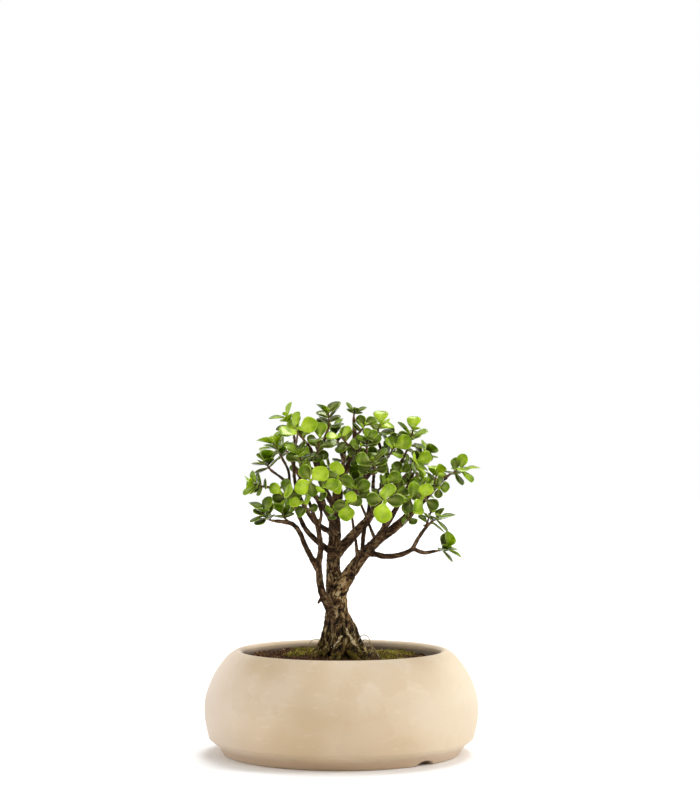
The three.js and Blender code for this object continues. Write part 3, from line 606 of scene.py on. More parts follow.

# %% [markdown]
# ## The wood
#
# Surface roots, trunk, limbs and branches grew as one piece, so they have to flow into each
# other with no seam. The limbs are bevelled curves through listed points, each with its own
# thickness there, and the roots fall away from the trunk's foot. A voxel remesh then melts all
# the tubes into one skin. One more short tube, low on the left, is the stub of a limb that broke
# off. Later the bark is raised on that skin by moving its points along their normals, because a
# bump map alone would leave the outline smooth, which a trunk like this never is.

# %% Routes of the limbs, as x, y, z and radius
LIMBS = {
    "trunk": [
        (-0.5, 0, 50, 13), (-0.5, 0, 63, 16), (-1, 0, 71, 15), (-1.5, 0, 78, 13.6), (-2.5, 0, 84.5, 12),
        (-3, 0, 91, 10.6), (-3.5, 0, 97.5, 9.2), (-3.5, 0, 104.5, 8.2), (-3.5, 0, 112, 7.7),
        (-4.5, 0, 119, 7), (-5.5, 0, 127, 5.9), (-6, 0, 136, 5.2), (-5.5, 0, 145.5, 5),
        (-5, 1, 154.5, 4.7), (-5, 1, 164, 4.5), (-5, 1, 173.5, 4), (-4, 0, 183.5, 3.4),
        (-2.5, -1, 194.5, 2.9), (2.5, -2, 204, 2.5), (7.5, -3, 214.5, 2.2), (9.5, -4, 224.5, 1.9),
        (9.5, -4, 234, 1.7), (9, -4, 243, 1.3),
    ],
    "right_limb": [
        (-3, 0, 104.5, 4), (-3, -1, 113.5, 5.6), (1.5, -4, 123, 5.6), (7, -8, 132, 5),
        (13.5, -11, 141, 4.4), (20, -14, 149, 3.9), (28, -17, 156.5, 3.6), (38, -20, 164, 3.3),
        (47, -22, 172, 3), (55, -23, 180, 2.4), (62.5, -24, 188.5, 2.3), (69.5, -26, 196.5, 2.1),
        (76, -28, 201.5, 1.6),
    ],
    "low_right": [
        (16.5, -12, 145, 2.2), (23.5, -15, 145, 2.2), (32, -18, 143.5, 2.1), (41, -21, 144.5, 2),
        (47.5, -24, 147, 1.8), (51.5, -26, 149, 1.6), (59.5, -24, 146.5, 1.5), (67.5, -22, 147.5, 1.3),
    ],
    "low_right_fork": [
        (51, -26, 149, 1.5), (54, -28, 155, 1.5), (58, -30, 161.5, 1.4), (62, -31, 166.5, 1.15),
    ],
    "right_fork": [
        (-5, 1, 142.5, 4.2), (2, 6, 150.5, 3.8), (9, 11, 158, 3.6), (16.5, 16, 165.5, 3.4),
        (22, 20, 172.5, 3.1), (27, 22, 181, 2.7), (31.5, 24, 189.5, 2.4), (36, 26, 198, 2),
        (42, 26, 206.5, 1.6), (47, 25, 216.5, 1.3),
    ],
    "fork_back": [
        (28.5, 22, 183.5, 2), (36, 30, 191, 1.8), (45.5, 38, 198.5, 1.5), (53.5, 43, 206.5, 1.2),
    ],
    "fork_top": [
        (34, 25, 193.5, 1.8), (33.5, 22, 205.5, 1.6), (30.5, 18, 216.5, 1.4), (27, 16, 227, 1.2),
    ],
    "limb_branch": [
        (22, -15, 150, 2.8), (27.5, -10, 158, 2.6), (32.5, -6, 165.5, 2.3), (38.5, -3, 175, 2),
        (43.5, 0, 184.5, 1.8), (49, 3, 194, 1.5), (52.5, 6, 202.5, 1.2),
    ],
    "front_stub": [
        (28.5, -17, 156.5, 2.2), (30.5, -23, 164, 1.9), (31.5, -29, 172.5, 1.6), (31, -34, 179.5, 1.4),
        (30.5, -40, 183.5, 1.2),
    ],
    "inner_stem": [
        (15.5, -11, 143.5, 1.9), (15.5, -5, 152.5, 1.7), (16.5, 1, 161, 1.6), (18.5, -1, 169, 1.5),
        (20, -7, 179, 1.4), (19.5, -12, 189, 1.3), (17, -14, 199.5, 1.2), (16.5, -14, 209.5, 1.1),
        (18, -12, 219, 1),
    ],
    "thin_stem": [
        (12, -10, 139.5, 1.5), (10.5, -15, 153, 1.2), (9, -20, 162.5, 1.1), (7.5, -25, 173, 1),
        (5.5, -30, 179, 0.95),
    ],
    "cross_stem": [
        (25, -16, 154.5, 1.5), (21.5, -14, 162.5, 1.2), (18, -18, 172, 1.1), (14, -24, 181.5, 1),
    ],
    "left_stem": [
        (-7.5, -2, 102, 3.4), (-11.5, -5, 110, 3), (-15, -8, 120, 2.7), (-16, -9, 128.5, 2.6),
        (-16.5, -11, 138, 2.4), (-15, -12, 148.5, 2.2), (-16, -14, 158.5, 2), (-18, -17, 168, 1.7),
        (-21.5, -19, 177.5, 1.4), (-25, -20, 188, 1.2), (-28, -20, 198, 1.1), (-29, -19, 208, 1),
    ],
    "left_low": [
        (-17, -9, 133, 2.2), (-22.5, -13, 143.5, 2.1), (-26.5, -16, 152, 1.9), (-30, -19, 160.5, 1.8),
        (-34.5, -22, 166.5, 1.7), (-40.5, -24, 168.5, 1.6), (-48.5, -26, 169.5, 1.3),
    ],
    "left_front": [
        (-17, -15, 164, 1.5), (-14.5, -21, 174, 1.2), (-17.5, -26, 184.5, 1.1), (-20.5, -31, 192.5, 1),
        (-21.5, -36, 196.5, 0.95),
    ],
    "left_branch": [
        (-7, -3, 145.5, 2.6), (-13.5, -5, 150.5, 2.2), (-20, -7, 156, 2), (-25.5, -9, 162, 1.8),
        (-29.5, -10, 169.5, 1.7), (-33, -11, 178, 1.5), (-35.5, -12, 187.5, 1.35),
        (-37.5, -12, 196.5, 1.2), (-38.5, -10, 205, 1.1), (-42.5, -8, 213, 1),
    ],
    "left_tip": [
        (-37.5, -12, 195.5, 1.2), (-44.5, -15, 201, 1.05), (-50, -17, 205, 0.95),
    ],
    "left_far": [
        (-37, -12, 195, 1.2), (-44.5, -16, 193, 1.05), (-52.5, -20, 193.5, 0.95),
    ],
    "left_inner": [
        (-7, 2, 159.5, 2.3), (-14.5, 5, 163.5, 2.1), (-20, 8, 168, 1.9), (-25, 11, 174.5, 1.7),
        (-29.5, 13, 182.5, 1.5), (-33, 14, 191.5, 1.4), (-35, 13, 201, 1.3), (-35, 10, 211.5, 1.2),
        (-34, 4, 221, 1.1), (-34.5, -3, 229, 1),
    ],
    "left_upper": [
        (-5, 0, 178, 2.6), (-10, 5, 187, 2.3), (-15, 9, 197.5, 2), (-17.5, 11, 207.5, 1.8),
        (-16.5, 11, 216.5, 1.6), (-13.5, 10, 225.5, 1.4), (-10.5, 8, 234, 1.2),
    ],
    "upper_front": [
        (-16, 10, 202.5, 1.6), (-20, 2, 211.5, 1.4), (-22, -7, 220.5, 1.2), (-25.5, -15, 225.5, 1),
    ],
    "back_left": [
        (-5.5, 3, 165, 2.6), (-11, 16, 174.5, 2.3), (-18.5, 28, 184.5, 2), (-27.5, 38, 194.5, 1.7),
        (-34.5, 44, 205, 1.4), (-39, 46, 215, 1.2),
    ],
    "back_right": [
        (-4, 3, 171, 2.6), (2.5, 18, 180, 2.3), (10.5, 32, 190, 2), (20, 43, 201, 1.7),
        (27.5, 50, 211.5, 1.4), (33.5, 53, 221.5, 1.1),
    ],
    "back_centre": [
        (-3.5, 2, 180.5, 2.5), (-2.5, 15, 190.5, 2.2), (0, 28, 201.5, 1.9), (1, 38, 212.5, 1.6),
        (-2, 44, 223, 1.3),
    ],
    "front_centre": [
        (-5, -2, 170, 2.6), (-2.5, -12, 179, 2.1), (-0.5, -19, 188, 1.7), (-1.5, -24, 195, 1.4),
        (-2, -29, 199, 1.2),
    ],
    "front_left": [
        (-5, -3, 162, 2.2), (-8.5, -14, 171, 1.9), (-12, -26, 181, 1.5), (-14, -35, 189, 1.2),
    ],
    "front_right": [
        (22.5, 19, 174, 1.8), (24, 6, 184, 1.6), (23, -8, 193.5, 1.4), (23.5, -20, 203, 1.2),
    ],
}
ROOTS = [(6, 1), (58, 0.95), (110, 1.05), (160, 0.9), (208, 0.95), (262, 1), (316, 1.05)]
ROOT_FALL = [
    (3, 99, 4.4), (8.5, 89, 4.8), (12, 81, 4.4), (15, 75.5, 4.1), (19, 70.5, 3.5), (24.5, 65.5, 2.7),
    (31, 60, 1.8),
]
ROOT_TWIST = 9
ROOT_BEND = 1.3
ROOT_CENTRE = (-1.5, 0)
SMALL_SHARE = 0.0001
LENGTH_STEPS = 200


def limb_point(route, share):
    """A point on the smooth curve through a limb's points, at an even share of its spans"""
    points = [np.array(row[:3], float) for row in route]
    place = share * (len(points) - 1)
    i = min(int(place), len(points) - 2)
    start, end = points[i], points[i + 1]
    before = points[i - 1] if i > 0 else 2 * start - end
    after = points[i + 2] if i + 2 < len(points) else 2 * end - start
    return hermite(start, end, (end - before) / 2, (after - start) / 2, place - i)


def limb_radius(route, share):
    """A limb's radius at a share of its way"""
    place = share * (len(route) - 1)
    i = min(int(place), len(route) - 2)
    return lerp(route[i][3], route[i + 1][3], place - i)


def unit(vector):
    return vector / np.linalg.norm(vector)


def way_along(point_at, share):
    """The direction of a curve, from two points close to share"""
    return unit(point_at(min(share + SMALL_SHARE, 1)) - point_at(max(share - SMALL_SHARE, 0)))


def length_of(point_at):
    """The length of a curve, as a chain of short straight pieces"""
    path = np.array([point_at(k / LENGTH_STEPS) for k in range(LENGTH_STEPS + 1)])
    return np.linalg.norm(np.diff(path, axis=0), axis=1).sum()


def root_route(azimuth, reach):
    """The way of a root that winds down the flare and out under the soil"""
    route = []
    for i, (radius, height, thickness) in enumerate(ROOT_FALL):
        angle = math.radians(azimuth + ROOT_TWIST * math.sin(ROOT_BEND * i + azimuth))
        x = ROOT_CENTRE[0] + radius * reach * math.cos(angle)
        y = ROOT_CENTRE[1] + radius * reach * math.sin(angle)
        route.append((x, y, height, thickness))
    return route


# %% [markdown]
# ## Where the twigs stand
#
# Leaves of this plant grow on thin young twigs, each with two to five pairs. A twig goes on from
# its limb's end, or starts on a short spur at the limb's side, and droops a little under its
# leaves before it rises to its tip. The list gives each one's limb, how far along it the twig
# leaves, its tip, its pairs of leaves, their length and how far the pairs are turned. The tips
# are listed, and a quadratic curve makes the twig.

# %% The twigs: limb, share of the way, tip, pairs, leaf length, roll
SPRAYS = [
    ("front_stub", 1, 30.5, -49, 184.5, 2, 17, 90),
    ("front_centre", 1, -2.5, -38, 201, 2, 14, 90),
    ("left_front", 1, -21.5, -45, 199, 2, 16, 32),
    ("right_limb", 0.82, 58, -40, 186, 2, 15, 60),
    ("thin_stem", 1, 4, -38, 182.5, 2, 14, 105),
    ("upper_front", 1, -35, -24, 236, 4, 15, 20),
    ("front_left", 1, -13, -43, 194, 2, 13, 30),
    ("trunk", 0.9, -0.5, -24, 230.5, 3, 13, 10),
    ("right_limb", 1, 88.5, -36, 207, 5, 13, 0),
    ("right_limb", 0.93, 69.5, -40, 193.5, 3, 10, 0),
    ("right_limb", 0.87, 69, -22, 205, 4, 11, 0),
    ("right_limb", 0.73, 49, -38, 185.5, 4, 13, 45),
    ("right_limb", 0.63, 51.5, -34, 175.5, 3, 11, 0),
    ("right_limb", 0.77, 60.5, -4, 197.5, 5, 13, 45),
    ("low_right", 1, 76.5, -23, 149.5, 4, 14, 90),
    ("low_right_fork", 1, 70.5, -34, 172, 4, 14, 0),
    ("low_right_fork", 0.62, 64.5, -26, 176.5, 4, 10, 45),
    ("right_fork", 1, 53, 20, 235.5, 5, 14, 0),
    ("right_fork", 0.9, 55.5, 14, 212, 4, 14, 0),
    ("right_fork", 0.78, 43.5, 6, 204, 4, 12, 0),
    ("fork_back", 1, 63, 48, 218.5, 5, 13, 0),
    ("fork_back", 0.55, 51.5, 50, 196, 4, 12, 0),
    ("fork_top", 1, 29, 12, 239.5, 4, 14, 0),
    ("fork_top", 0.55, 38.5, 8, 222.5, 4, 14, 0),
    ("limb_branch", 1, 55, -6, 200.5, 4, 12, 0),
    ("limb_branch", 0.72, 39.5, -12, 191.5, 4, 11, 0),
    ("inner_stem", 1, 18, -15, 229, 5, 12, 0),
    ("cross_stem", 1, 10.5, -31, 192.5, 4, 13, 0),
    ("front_right", 1, 22.5, -27, 212.5, 5, 13, 0),
    ("front_right", 0.55, 32.5, -14, 197, 3, 12, 0),
    ("trunk", 1, 9.5, -4, 248.5, 3, 9, 0),
    ("trunk", 0.94, 17, -13, 238.5, 4, 11, 0),
    ("trunk", 0.86, 14, -20, 222.5, 4, 12, 0),
    ("upper_front", 0.35, -15.5, -20, 229, 4, 14, 90),
    ("front_left", 0.42, -5.5, -27, 178.5, 2, 12, 0),
    ("left_low", 1, -57, -30, 176, 5, 14, 0),
    ("left_low", 0.72, -43.5, -19, 175.5, 3, 12, 0),
    ("left_far", 1, -63.5, -24, 196, 5, 13, 0),
    ("left_tip", 1, -54.5, -18, 212.5, 4, 13, 0),
    ("left_branch", 1, -50, -4, 225.5, 5, 14, 0),
    ("left_branch", 0.68, -42.5, -27, 189, 3, 14, 0),
    ("left_stem", 1, -30, -21, 217.5, 4, 13, 0),
    ("left_stem", 0.72, -27.5, -33, 182.5, 3, 11, 0),
    ("left_inner", 1, -40.5, -6, 245, 5, 13, 0),
    ("left_inner", 0.58, -39.5, 6, 184, 4, 12, 0),
    ("left_upper", 1, -10, 6, 248, 4, 14, 0),
    ("left_upper", 0.62, -24.5, 6, 213, 4, 12, 0),
    ("back_left", 1, -47.5, 50, 223, 4, 13, 0),
    ("back_left", 0.7, -29.5, 60, 211, 4, 13, 0),
    ("back_right", 1, 40.5, 58, 230, 4, 13, 0),
    ("back_right", 0.7, 23, 63, 215.5, 4, 13, 0),
    ("back_right", 0.48, 7.5, 50, 199, 4, 13, 0),
    ("back_centre", 1, -6, 46, 236, 4, 13, 0),
    ("back_centre", 0.62, 3, 56, 221.5, 4, 13, 0),
    ("back_centre", 0.48, -11, 44, 206.5, 4, 13, 0),
    ("left_inner", 0.93, -31, -33, 235, 2, 18, 35),
]
UP = np.array((0.0, 0.0, 1.0))
SPUR_LENGTH = 2.2
SPUR_FOOT_RADIUS = 1.4
SPUR_RADIUS = 1.1
TWIG_RUN = 0.45
TWIG_SAG = 0.14


def spray_anchor(row):
    """The bend, tip and start of a spray's twig, and its spur where it isn't at a limb's end"""
    name, share, *tip = row[:5]
    tip = np.array(tip, float)
    route = LIMBS[name]
    foot = limb_point(route, share)
    reach = np.linalg.norm(tip - foot)
    if share == 1:
        along = way_along(lambda t: limb_point(route, t), 1)
        return {"bend": foot + along * TWIG_RUN * reach, "tip": tip, "start": foot + along * GAP}
    bend = (foot + tip) / 2 - UP * TWIG_SAG * reach
    along = unit(bend - foot)
    spur_end = foot + along * (limb_radius(route, share) + SPUR_LENGTH)
    return {"bend": bend, "tip": tip, "start": spur_end + along * GAP, "spur": (foot, spur_end)}


anchors = [spray_anchor(row) for row in SPRAYS]
print("limbs:", len(LIMBS), "twigs:", len(anchors))

# %% Tubes of the wood
SAMPLE_LENGTH = 0.9
NODE_SPACING = 6.5
NODE_SWELL = 0.1
NODE_START, NODE_WIDTH = 1.4, 0.9
SMOOTH_RADIUS, SMOOTH_FADE = 3.2, 1.6
WOOD_ROUNDNESS = 5
THIN_ROOT_COUNT = 26
THIN_ROOT_STRAY = 12
THIN_ROOT_TURN = 7
THIN_ROOT_WANDER = 0.9
BROKEN_STUB = [(-13.5, -6, 113, 1.5), (-16, -7, 110.8, 1.2), (-17, -7.3, 108.4, 0.8)]


def swollen(radius, distance):
    """A thin stem is thicker where its leaves used to stand"""
    thin = min(max((SMOOTH_RADIUS - radius) / SMOOTH_FADE, 0), 1)
    ring = math.exp(-((((distance + NODE_START) % NODE_SPACING) - NODE_START) / NODE_WIDTH) ** 2)
    return radius * (1 + NODE_SWELL * thin * ring)


def add_tube(curve, spots):
    """A spline of the bevelled curve through spots of x, y, z and radius"""
    spline = curve.splines.new("POLY")
    spline.points.add(len(spots) - 1)
    for point, (x, y, z, radius) in zip(spline.points, spots):
        point.co = (x * MM, y * MM, z * MM, 1)
        point.radius = radius


def new_tubes(name, resolution):
    """A curve whose splines become round tubes, with a radius of its own at each point"""
    curve = bpy.data.curves.new(name, "CURVE")
    curve.dimensions = "3D"
    curve.bevel_depth = MM
    curve.bevel_resolution = resolution
    curve.use_fill_caps = True
    return curve


def limb_spots(route):
    """Close-set spots of x, y, z and radius along a limb"""
    length = length_of(lambda t: limb_point(route, t))
    shares = np.linspace(0, 1, max(int(length / SAMPLE_LENGTH), 2) + 1)
    return [(*limb_point(route, t), swollen(limb_radius(route, t), t * length)) for t in shares]


wood = new_tubes("wood", WOOD_ROUNDNESS)
paths = {name: limb_spots(route) for name, route in LIMBS.items()}
for azimuth, reach in ROOTS:
    paths[f"root_{azimuth}"] = limb_spots(root_route(azimuth, reach))

# Thin roots lie in the hollows between the thick ones and wander a little beyond them
for i in range(THIN_ROOT_COUNT):
    azimuth = 360 * i / THIN_ROOT_COUNT + THIN_ROOT_STRAY * rng.normal()
    lift, shrink = 0.6 * rng.normal(), 0.22 + 0.2 * rng.random()
    route = root_route(azimuth + THIN_ROOT_TURN, 0.9 + 0.2 * rng.random())
    wander = np.cumsum(rng.normal(size=(len(route), 2)) * THIN_ROOT_WANDER, axis=0)
    route = [(x + dx, y + dy, z + lift, shrink * r) for (x, y, z, r), (dx, dy) in zip(route, wander)]
    paths[f"thin_root_{i}"] = limb_spots(route[2:])
for i, anchor in enumerate(anchors):
    if "spur" in anchor:
        foot, end = anchor["spur"]
        radii = (SPUR_FOOT_RADIUS, SPUR_RADIUS)
        paths[f"spur_{i}"] = [(*lerp(foot, end, t), lerp(*radii, t)) for t in (0, 0.25, 0.5, 0.75, 1)]
paths["broken_stub"] = BROKEN_STUB
for spots in paths.values():
    add_tube(wood, spots)
print("tubes of the wood:", len(paths))

# %% Melt the tubes together
WOOD_VOXEL = 0.7
tubes = placed("tubes", baked(placed("wood", wood), "tubes"))
melt = tubes.modifiers.new("melt", "REMESH")
melt.mode = "VOXEL"
melt.voxel_size = WOOD_VOXEL * MM
melt.adaptivity = 0
ease = tubes.modifiers.new("ease", "SMOOTH")
ease.factor = 0.5
ease.iterations = 2
wood_mesh = baked(tubes, "bark")
print("wood faces:", len(wood_mesh.polygons))

# %% [markdown]
# ## The bark's relief
#
# Old bark splits into small plates that lie along the stem, with cracks between them, and young
# bark is only wrinkled. Each point of the skin looks up the nearest point on a limb, which tells
# it how stout the wood is there and which way the grain runs. Noise that is squeezed along that
# way gives plates of the right length on every limb, whichever way it grows. The trunk's flare
# near the soil is the roughest. What a point finds out is stored for the finish to use.

# %% Raise the bark
PLATE_WIDTH = 2.6
PLATE_STRETCH = 0.5
BARK_DEPTH = 0.85
FLARE_DEPTH = 0.6
FLARE_TOP, FLARE_FADE = 104, 18
THICK, THIN = 7.0, 1.2
CRACK_WIDTH = 0.11
CRACK_DEPTH, LUMP_RISE, PLATE_RISE = 0.9, 0.55, 0.35
YOUNG_DEPTH, YOUNG_CRACK = 0.16, 0.35
WRINKLE_DEPTH = 0.12
WARP_LENGTH, WARP = 6, 0.5
LUMP_SIZES = (3.1, 1.6)
WRINKLE_WIDTH = 1.3
GRAIN_REACH = 3
BARK_SEED = 5

# Blender lays out vector noise from the clock unless its seed is set, so each run would differ
noise.seed_set(BARK_SEED)
tree_points = [
    (np.array(row[:3]), row[3], k, spots) for spots in paths.values() for k, row in enumerate(spots)]
nearby = kdtree.KDTree(len(tree_points))
for index, (point, *_) in enumerate(tree_points):
    nearby.insert(Vector(point), index)
nearby.balance()


def grain_place(spot):
    """A place on the bark with its limb's run squeezed, so that patterns there stretch along the limb"""
    _, index, _ = nearby.find(spot)
    point, radius, k, spots = tree_points[index]
    first, last = spots[max(k - GRAIN_REACH, 0)], spots[min(k + GRAIN_REACH, len(spots) - 1)]
    grain = (Vector(last[:3]) - Vector(first[:3])).normalized()
    offset = spot - Vector(point)
    ahead = offset.dot(grain)
    run = k * SAMPLE_LENGTH + ahead
    return offset - grain * ahead + Vector((0, 0, run * PLATE_STRETCH + 7 * spots[0][3])), radius


def bark_height(spot, place, radius):
    """Height of the bark over the smooth wood, and how deep in a crack the spot lies"""
    stoutness = min(max((radius - THIN) / (THICK - THIN), 0), 1)
    warp = noise.noise_vector(spot / WARP_LENGTH) * WARP
    split = noise.noise(place / PLATE_WIDTH + warp)
    crack = math.exp(-(split / CRACK_WIDTH) ** 2)
    lumps = noise.noise(spot / LUMP_SIZES[0]) + 0.5 * noise.noise(spot / LUMP_SIZES[1])
    wrinkles = noise.noise(place / WRINKLE_WIDTH)
    low = min(max((FLARE_TOP - spot.z) / FLARE_FADE, 0), 1)
    depth = (BARK_DEPTH + FLARE_DEPTH * low) * lerp(YOUNG_DEPTH, 1, stoutness)
    height = depth * (LUMP_RISE * lumps - CRACK_DEPTH * crack + PLATE_RISE * abs(split))
    height += WRINKLE_DEPTH * wrinkles
    return height, crack * lerp(YOUNG_CRACK, 1, stoutness), stoutness


count = len(wood_mesh.vertices)
places, normals = np.empty(count * 3, np.float32), np.empty(count * 3, np.float32)
wood_mesh.vertices.foreach_get("co", places)
wood_mesh.vertices.foreach_get("normal", normals)
places, normals = places.reshape(-1, 3), normals.reshape(-1, 3)
bark = np.zeros((count, 3), np.float32)
grain_places = np.zeros((count, 3), np.float32)
for i in range(count):
    spot = Vector(places[i] / MM)
    place, radius = grain_place(spot)
    bark[i] = bark_height(spot, place, radius)
    grain_places[i] = place * MM
places += normals * bark[:, :1] * MM
wood_mesh.vertices.foreach_set("co", places.ravel())
wood_mesh.update()
for name, values in (("crack", bark[:, 1]), ("stout", bark[:, 2])):
    stored = wood_mesh.attributes.new(name, "FLOAT", "POINT")
    stored.data.foreach_set("value", np.ascontiguousarray(values))
streaks = wood_mesh.attributes.new("grain", "FLOAT_VECTOR", "POINT")
streaks.data.foreach_set("vector", grain_places.ravel())
print("bark from", round(float(bark[:, 0].min()), 2), "to", round(float(bark[:, 0].max()), 2), "mm")

# %% [markdown]
# ## The bark
#
# Old wood of this plant is grey-brown and corky, with tan patches where plates have flaked off,
# and nearly black in its cracks, which is partly the dark inner bark and partly painted shade in
# their depth. Younger stems are darker, smoother and redder. The trunk's left side is painted
# darker, as painted shade away from the light on the right. Its flare stays damp, so it is darker,
# with pale streaks of worn roots, and moss climbs the last few millimetres above the soil. Bark
# has no gloss, so it is rough all over. The crack depth, the stoutness and the grain were stored
# when the bark was raised, and the colours follow them. Real fibres are finer than a picture
# point, so they are drawn 2 to 3 mm wide.

# %% Bark material
# Corky bark: dull and rough, darkest in its cracks, partly with painted shade there, with paler
# plates where it has flaked
bark_finish, tree, shader = new_material(
    "corky_succulent_bark", Roughness=0.85, IOR=1.35, Specular_IOR_Level=0.25)
place = add(tree, "ShaderNodeTexCoord", out="Object")
side = add(tree, "ShaderNodeSeparateXYZ", (place,), "X")
height = add(tree, "ShaderNodeSeparateXYZ", (place,), "Z")
grain = add(tree, "ShaderNodeAttribute", out="Vector", attribute_name="grain")
stout = add(tree, "ShaderNodeAttribute", out="Fac", attribute_name="stout")
crack = add(tree, "ShaderNodeAttribute", out="Fac", attribute_name="crack")

# Four tones of bark, each a ramp over streaks along the grain: streak width, roughness, stops
tones = {}
for tone, width, roughness, stops in [
    ("cork", 2.6, 0.65, [(0.36, "#130a03"), (0.5, "#49311a"), (0.66, "#7b5b38")]),
    ("flaked", 2.2, 0.6, [(0.36, "#5c4022"), (0.48, "#a5804f"), (0.62, "#e6cb98")]),
    ("young", 2.6, 0.5, [(0.36, "#1a0e06"), (0.5, "#432d1b"), (0.62, "#6b533a"), (0.74, "#9d886a")]),
    ("damp", 2.8, 0.65, [
        (0.38, "#0d0602"), (0.5, "#2f1f0c"), (0.58, "#6b5526"), (0.66, "#b8a274"), (0.76, "#e2d4ac")]),
]:
    streak = add(tree, "ShaderNodeTexNoise", {
        "Vector": grain, "Scale": scale_of(width), "Detail": 3, "Roughness": roughness})
    tones[tone] = add(tree, "ShaderNodeValToRGB", (streak,), stops=stops)

# %% Where each tone of bark shows
patches = add(tree, "ShaderNodeTexNoise", {
    "Vector": place, "Scale": scale_of(6.5), "Detail": 2, "Roughness": 0.6})
patches = add(tree, "ShaderNodeMapRange", (patches, 0.47, 0.56))
worn = add(tree, "ShaderNodeMath", (patches, stout), operation="MULTIPLY")
worn_height = add(tree, "ShaderNodeMapRange", (height, 150 * MM, 112 * MM, 0.25, 1))
worn = add(tree, "ShaderNodeMath", (worn, worn_height), operation="MULTIPLY")
# Painted shade: the trunk's left side is mixed darker, away from the light on the right
painted_left_shade = add(tree, "ShaderNodeMapRange", (side, -3 * MM, -12 * MM, 0, 0.55))
painted_left_shade = add(tree, "ShaderNodeMath", (painted_left_shade, stout), operation="MULTIPLY")
flare = add(tree, "ShaderNodeMapRange", (height, 100 * MM, 86 * MM))
lumps = add(tree, "ShaderNodeTexNoise", {"Vector": place, "Scale": scale_of(1.6)})
mossy = add(tree, "ShaderNodeMix", {0: lumps, 6: "#2c2604", 7: "#7a6a1a"}, 2, data_type="RGBA")
climb = add(tree, "ShaderNodeTexNoise", {"Vector": place, "Scale": scale_of(7)})
climb = add(tree, "ShaderNodeMapRange", (climb, 0.3, 0.7, -10 * MM, 10 * MM))
climb = add(tree, "ShaderNodeMath", (height, climb), operation="ADD")
climb = add(tree, "ShaderNodeMapRange", (climb, 75 * MM, 70 * MM, 0, 0.6))
# Painted shade in part: the cracks are mixed nearly black, the inner bark's own dark plus shade in their
# depth
split = add(tree, "ShaderNodeMapRange", (crack, 0.1, 0.65))
bark_color = tones["young"]
for share, tone in [
    (stout, tones["cork"]), (worn, tones["flaked"]), (painted_left_shade, "#1c1007"), (flare, tones["damp"]),
    (climb, mossy), (split, "#0b0502"),
]:
    bark_color = add(tree, "ShaderNodeMix", {0: share, 6: bark_color, 7: tone}, 2, data_type="RGBA")
pits = add(tree, "ShaderNodeTexNoise", {
    "Vector": place, "Scale": scale_of(0.7), "Detail": 4, "Roughness": 0.7})
relief = add(tree, "ShaderNodeBump", {"Height": pits, "Distance": 0.3 * MM})
finish_with(tree, shader, bark_color, relief)
show("bark", wood_mesh, [bark_finish], replaces=["trunk"])

# %% [markdown]
# ## Where the leaves stand
#
# The leaves of this plant grow in opposite pairs, and each pair is turned a quarter against the
# one before, so that none shades the next. They open wide low on a twig and close up towards its
# tip, and their faces turn out of the crown to the light. The same rule and the same seeded
# draws as in the CAD model place them, so each fine leaf stands where its plain blade stood. A
# leaf that would touch another spray or the wood turns, shrinks or isn't grown.

# %% Sizes of the leaves
TWIG_RADIUS = 0.95
TWIG_TIP_RADIUS = 0.6
LEAF_WIDTH = 0.82
LEAF_THICKNESS = 1.2
FIRST_PAIR_REACH = 3.8
LAST_PAIR_REACH = 0.9
SPREAD_LOW = 72
SPREAD_TIP = 52
CROWN_CENTRE = np.array((5.0, 38.0, 195.0))
OUTWARD_PULL = 1
UPWARD_PULL = 0.2
ROLL_JITTER = 16
SPREAD_JITTER = 9
SIZE_JITTER = 0.12
FIRST_SIZE = 0.8
LEAF_CLEARANCE = 1
NEIGHBOUR_REACH = 45
SAMPLE_STEP = 1.5
BLADE_FORM, BLADE_BLUNTNESS = 1.35, 0.8
LEAF_TRIES = [(0, 1), (24, 1), (-24, 1), (0, 0.8), (42, 0.8), (-42, 0.8), (0, 0.6)]
LEAF_SAMPLES = np.array([
    (0.3, -1), (0.3, 1), (0.5, -1), (0.5, 1), (0.7, -1), (0.7, 1), (0.88, -1), (0.88, 1), (0.5, -0.5),
    (0.5, 0.5), (0.75, -0.5), (0.75, 0.5), (0.3, 0), (0.5, 0), (0.7, 0), (0.9, 0), (1, 0),
])
seed = 20571


def draw():
    """A repeatable draw between -1 and 1"""
    global seed
    seed = seed * 48271 % 2147483647
    return 2 * seed / 2147483647 - 1


def leaf_half_width(u):
    """Half of a leaf's width at share u of its length, as a share of that length"""
    return LEAF_WIDTH / 2 * np.maximum(0, np.sin(np.pi * u ** BLADE_FORM)) ** BLADE_BLUNTNESS


def twig_point(anchor, t):
    """A point on a twig's quadratic curve"""
    start, bend, tip = anchor["start"], anchor["bend"], anchor["tip"]
    return (1 - t) ** 2 * start + 2 * (1 - t) * t * bend + t * t * tip


def sideways(along):
    """A level direction across a way, or the x axis where the way is nearly upright"""
    side = np.cross(UP, along)
    return unit(side) if np.linalg.norm(side) > 0.3 else np.array((1.0, 0, 0))


def pair_frame(anchor, share):
    """A pair's place on its twig: the point, the way on, and two directions across it"""
    along = way_along(lambda t: twig_point(anchor, t), share)
    across = sideways(way_along(lambda t: twig_point(anchor, t), 0))
    across = unit(across - along * across.dot(along))
    return twig_point(anchor, share), along, across, np.cross(along, across)


def new_leaf(pair, angle, spread, length):
    """A leaf's root, directions, length and the sample points that keep it clear of others"""
    point, along, across, third = pair
    out = across * math.cos(angle) + third * math.sin(angle)
    axis = along * math.cos(spread) + out * math.sin(spread)
    face = along + unit(point - CROWN_CENTRE) * OUTWARD_PULL + UP * UPWARD_PULL
    face = unit(face - axis * face.dot(axis))
    leaf = {"root": point, "axis": axis, "face": face, "side": np.cross(face, axis), "length": length}
    u, edge = LEAF_SAMPLES.T
    wide = edge * leaf_half_width(u)
    leaf["samples"] = point + length * (u[:, None] * axis + wide[:, None] * leaf["side"])
    return leaf


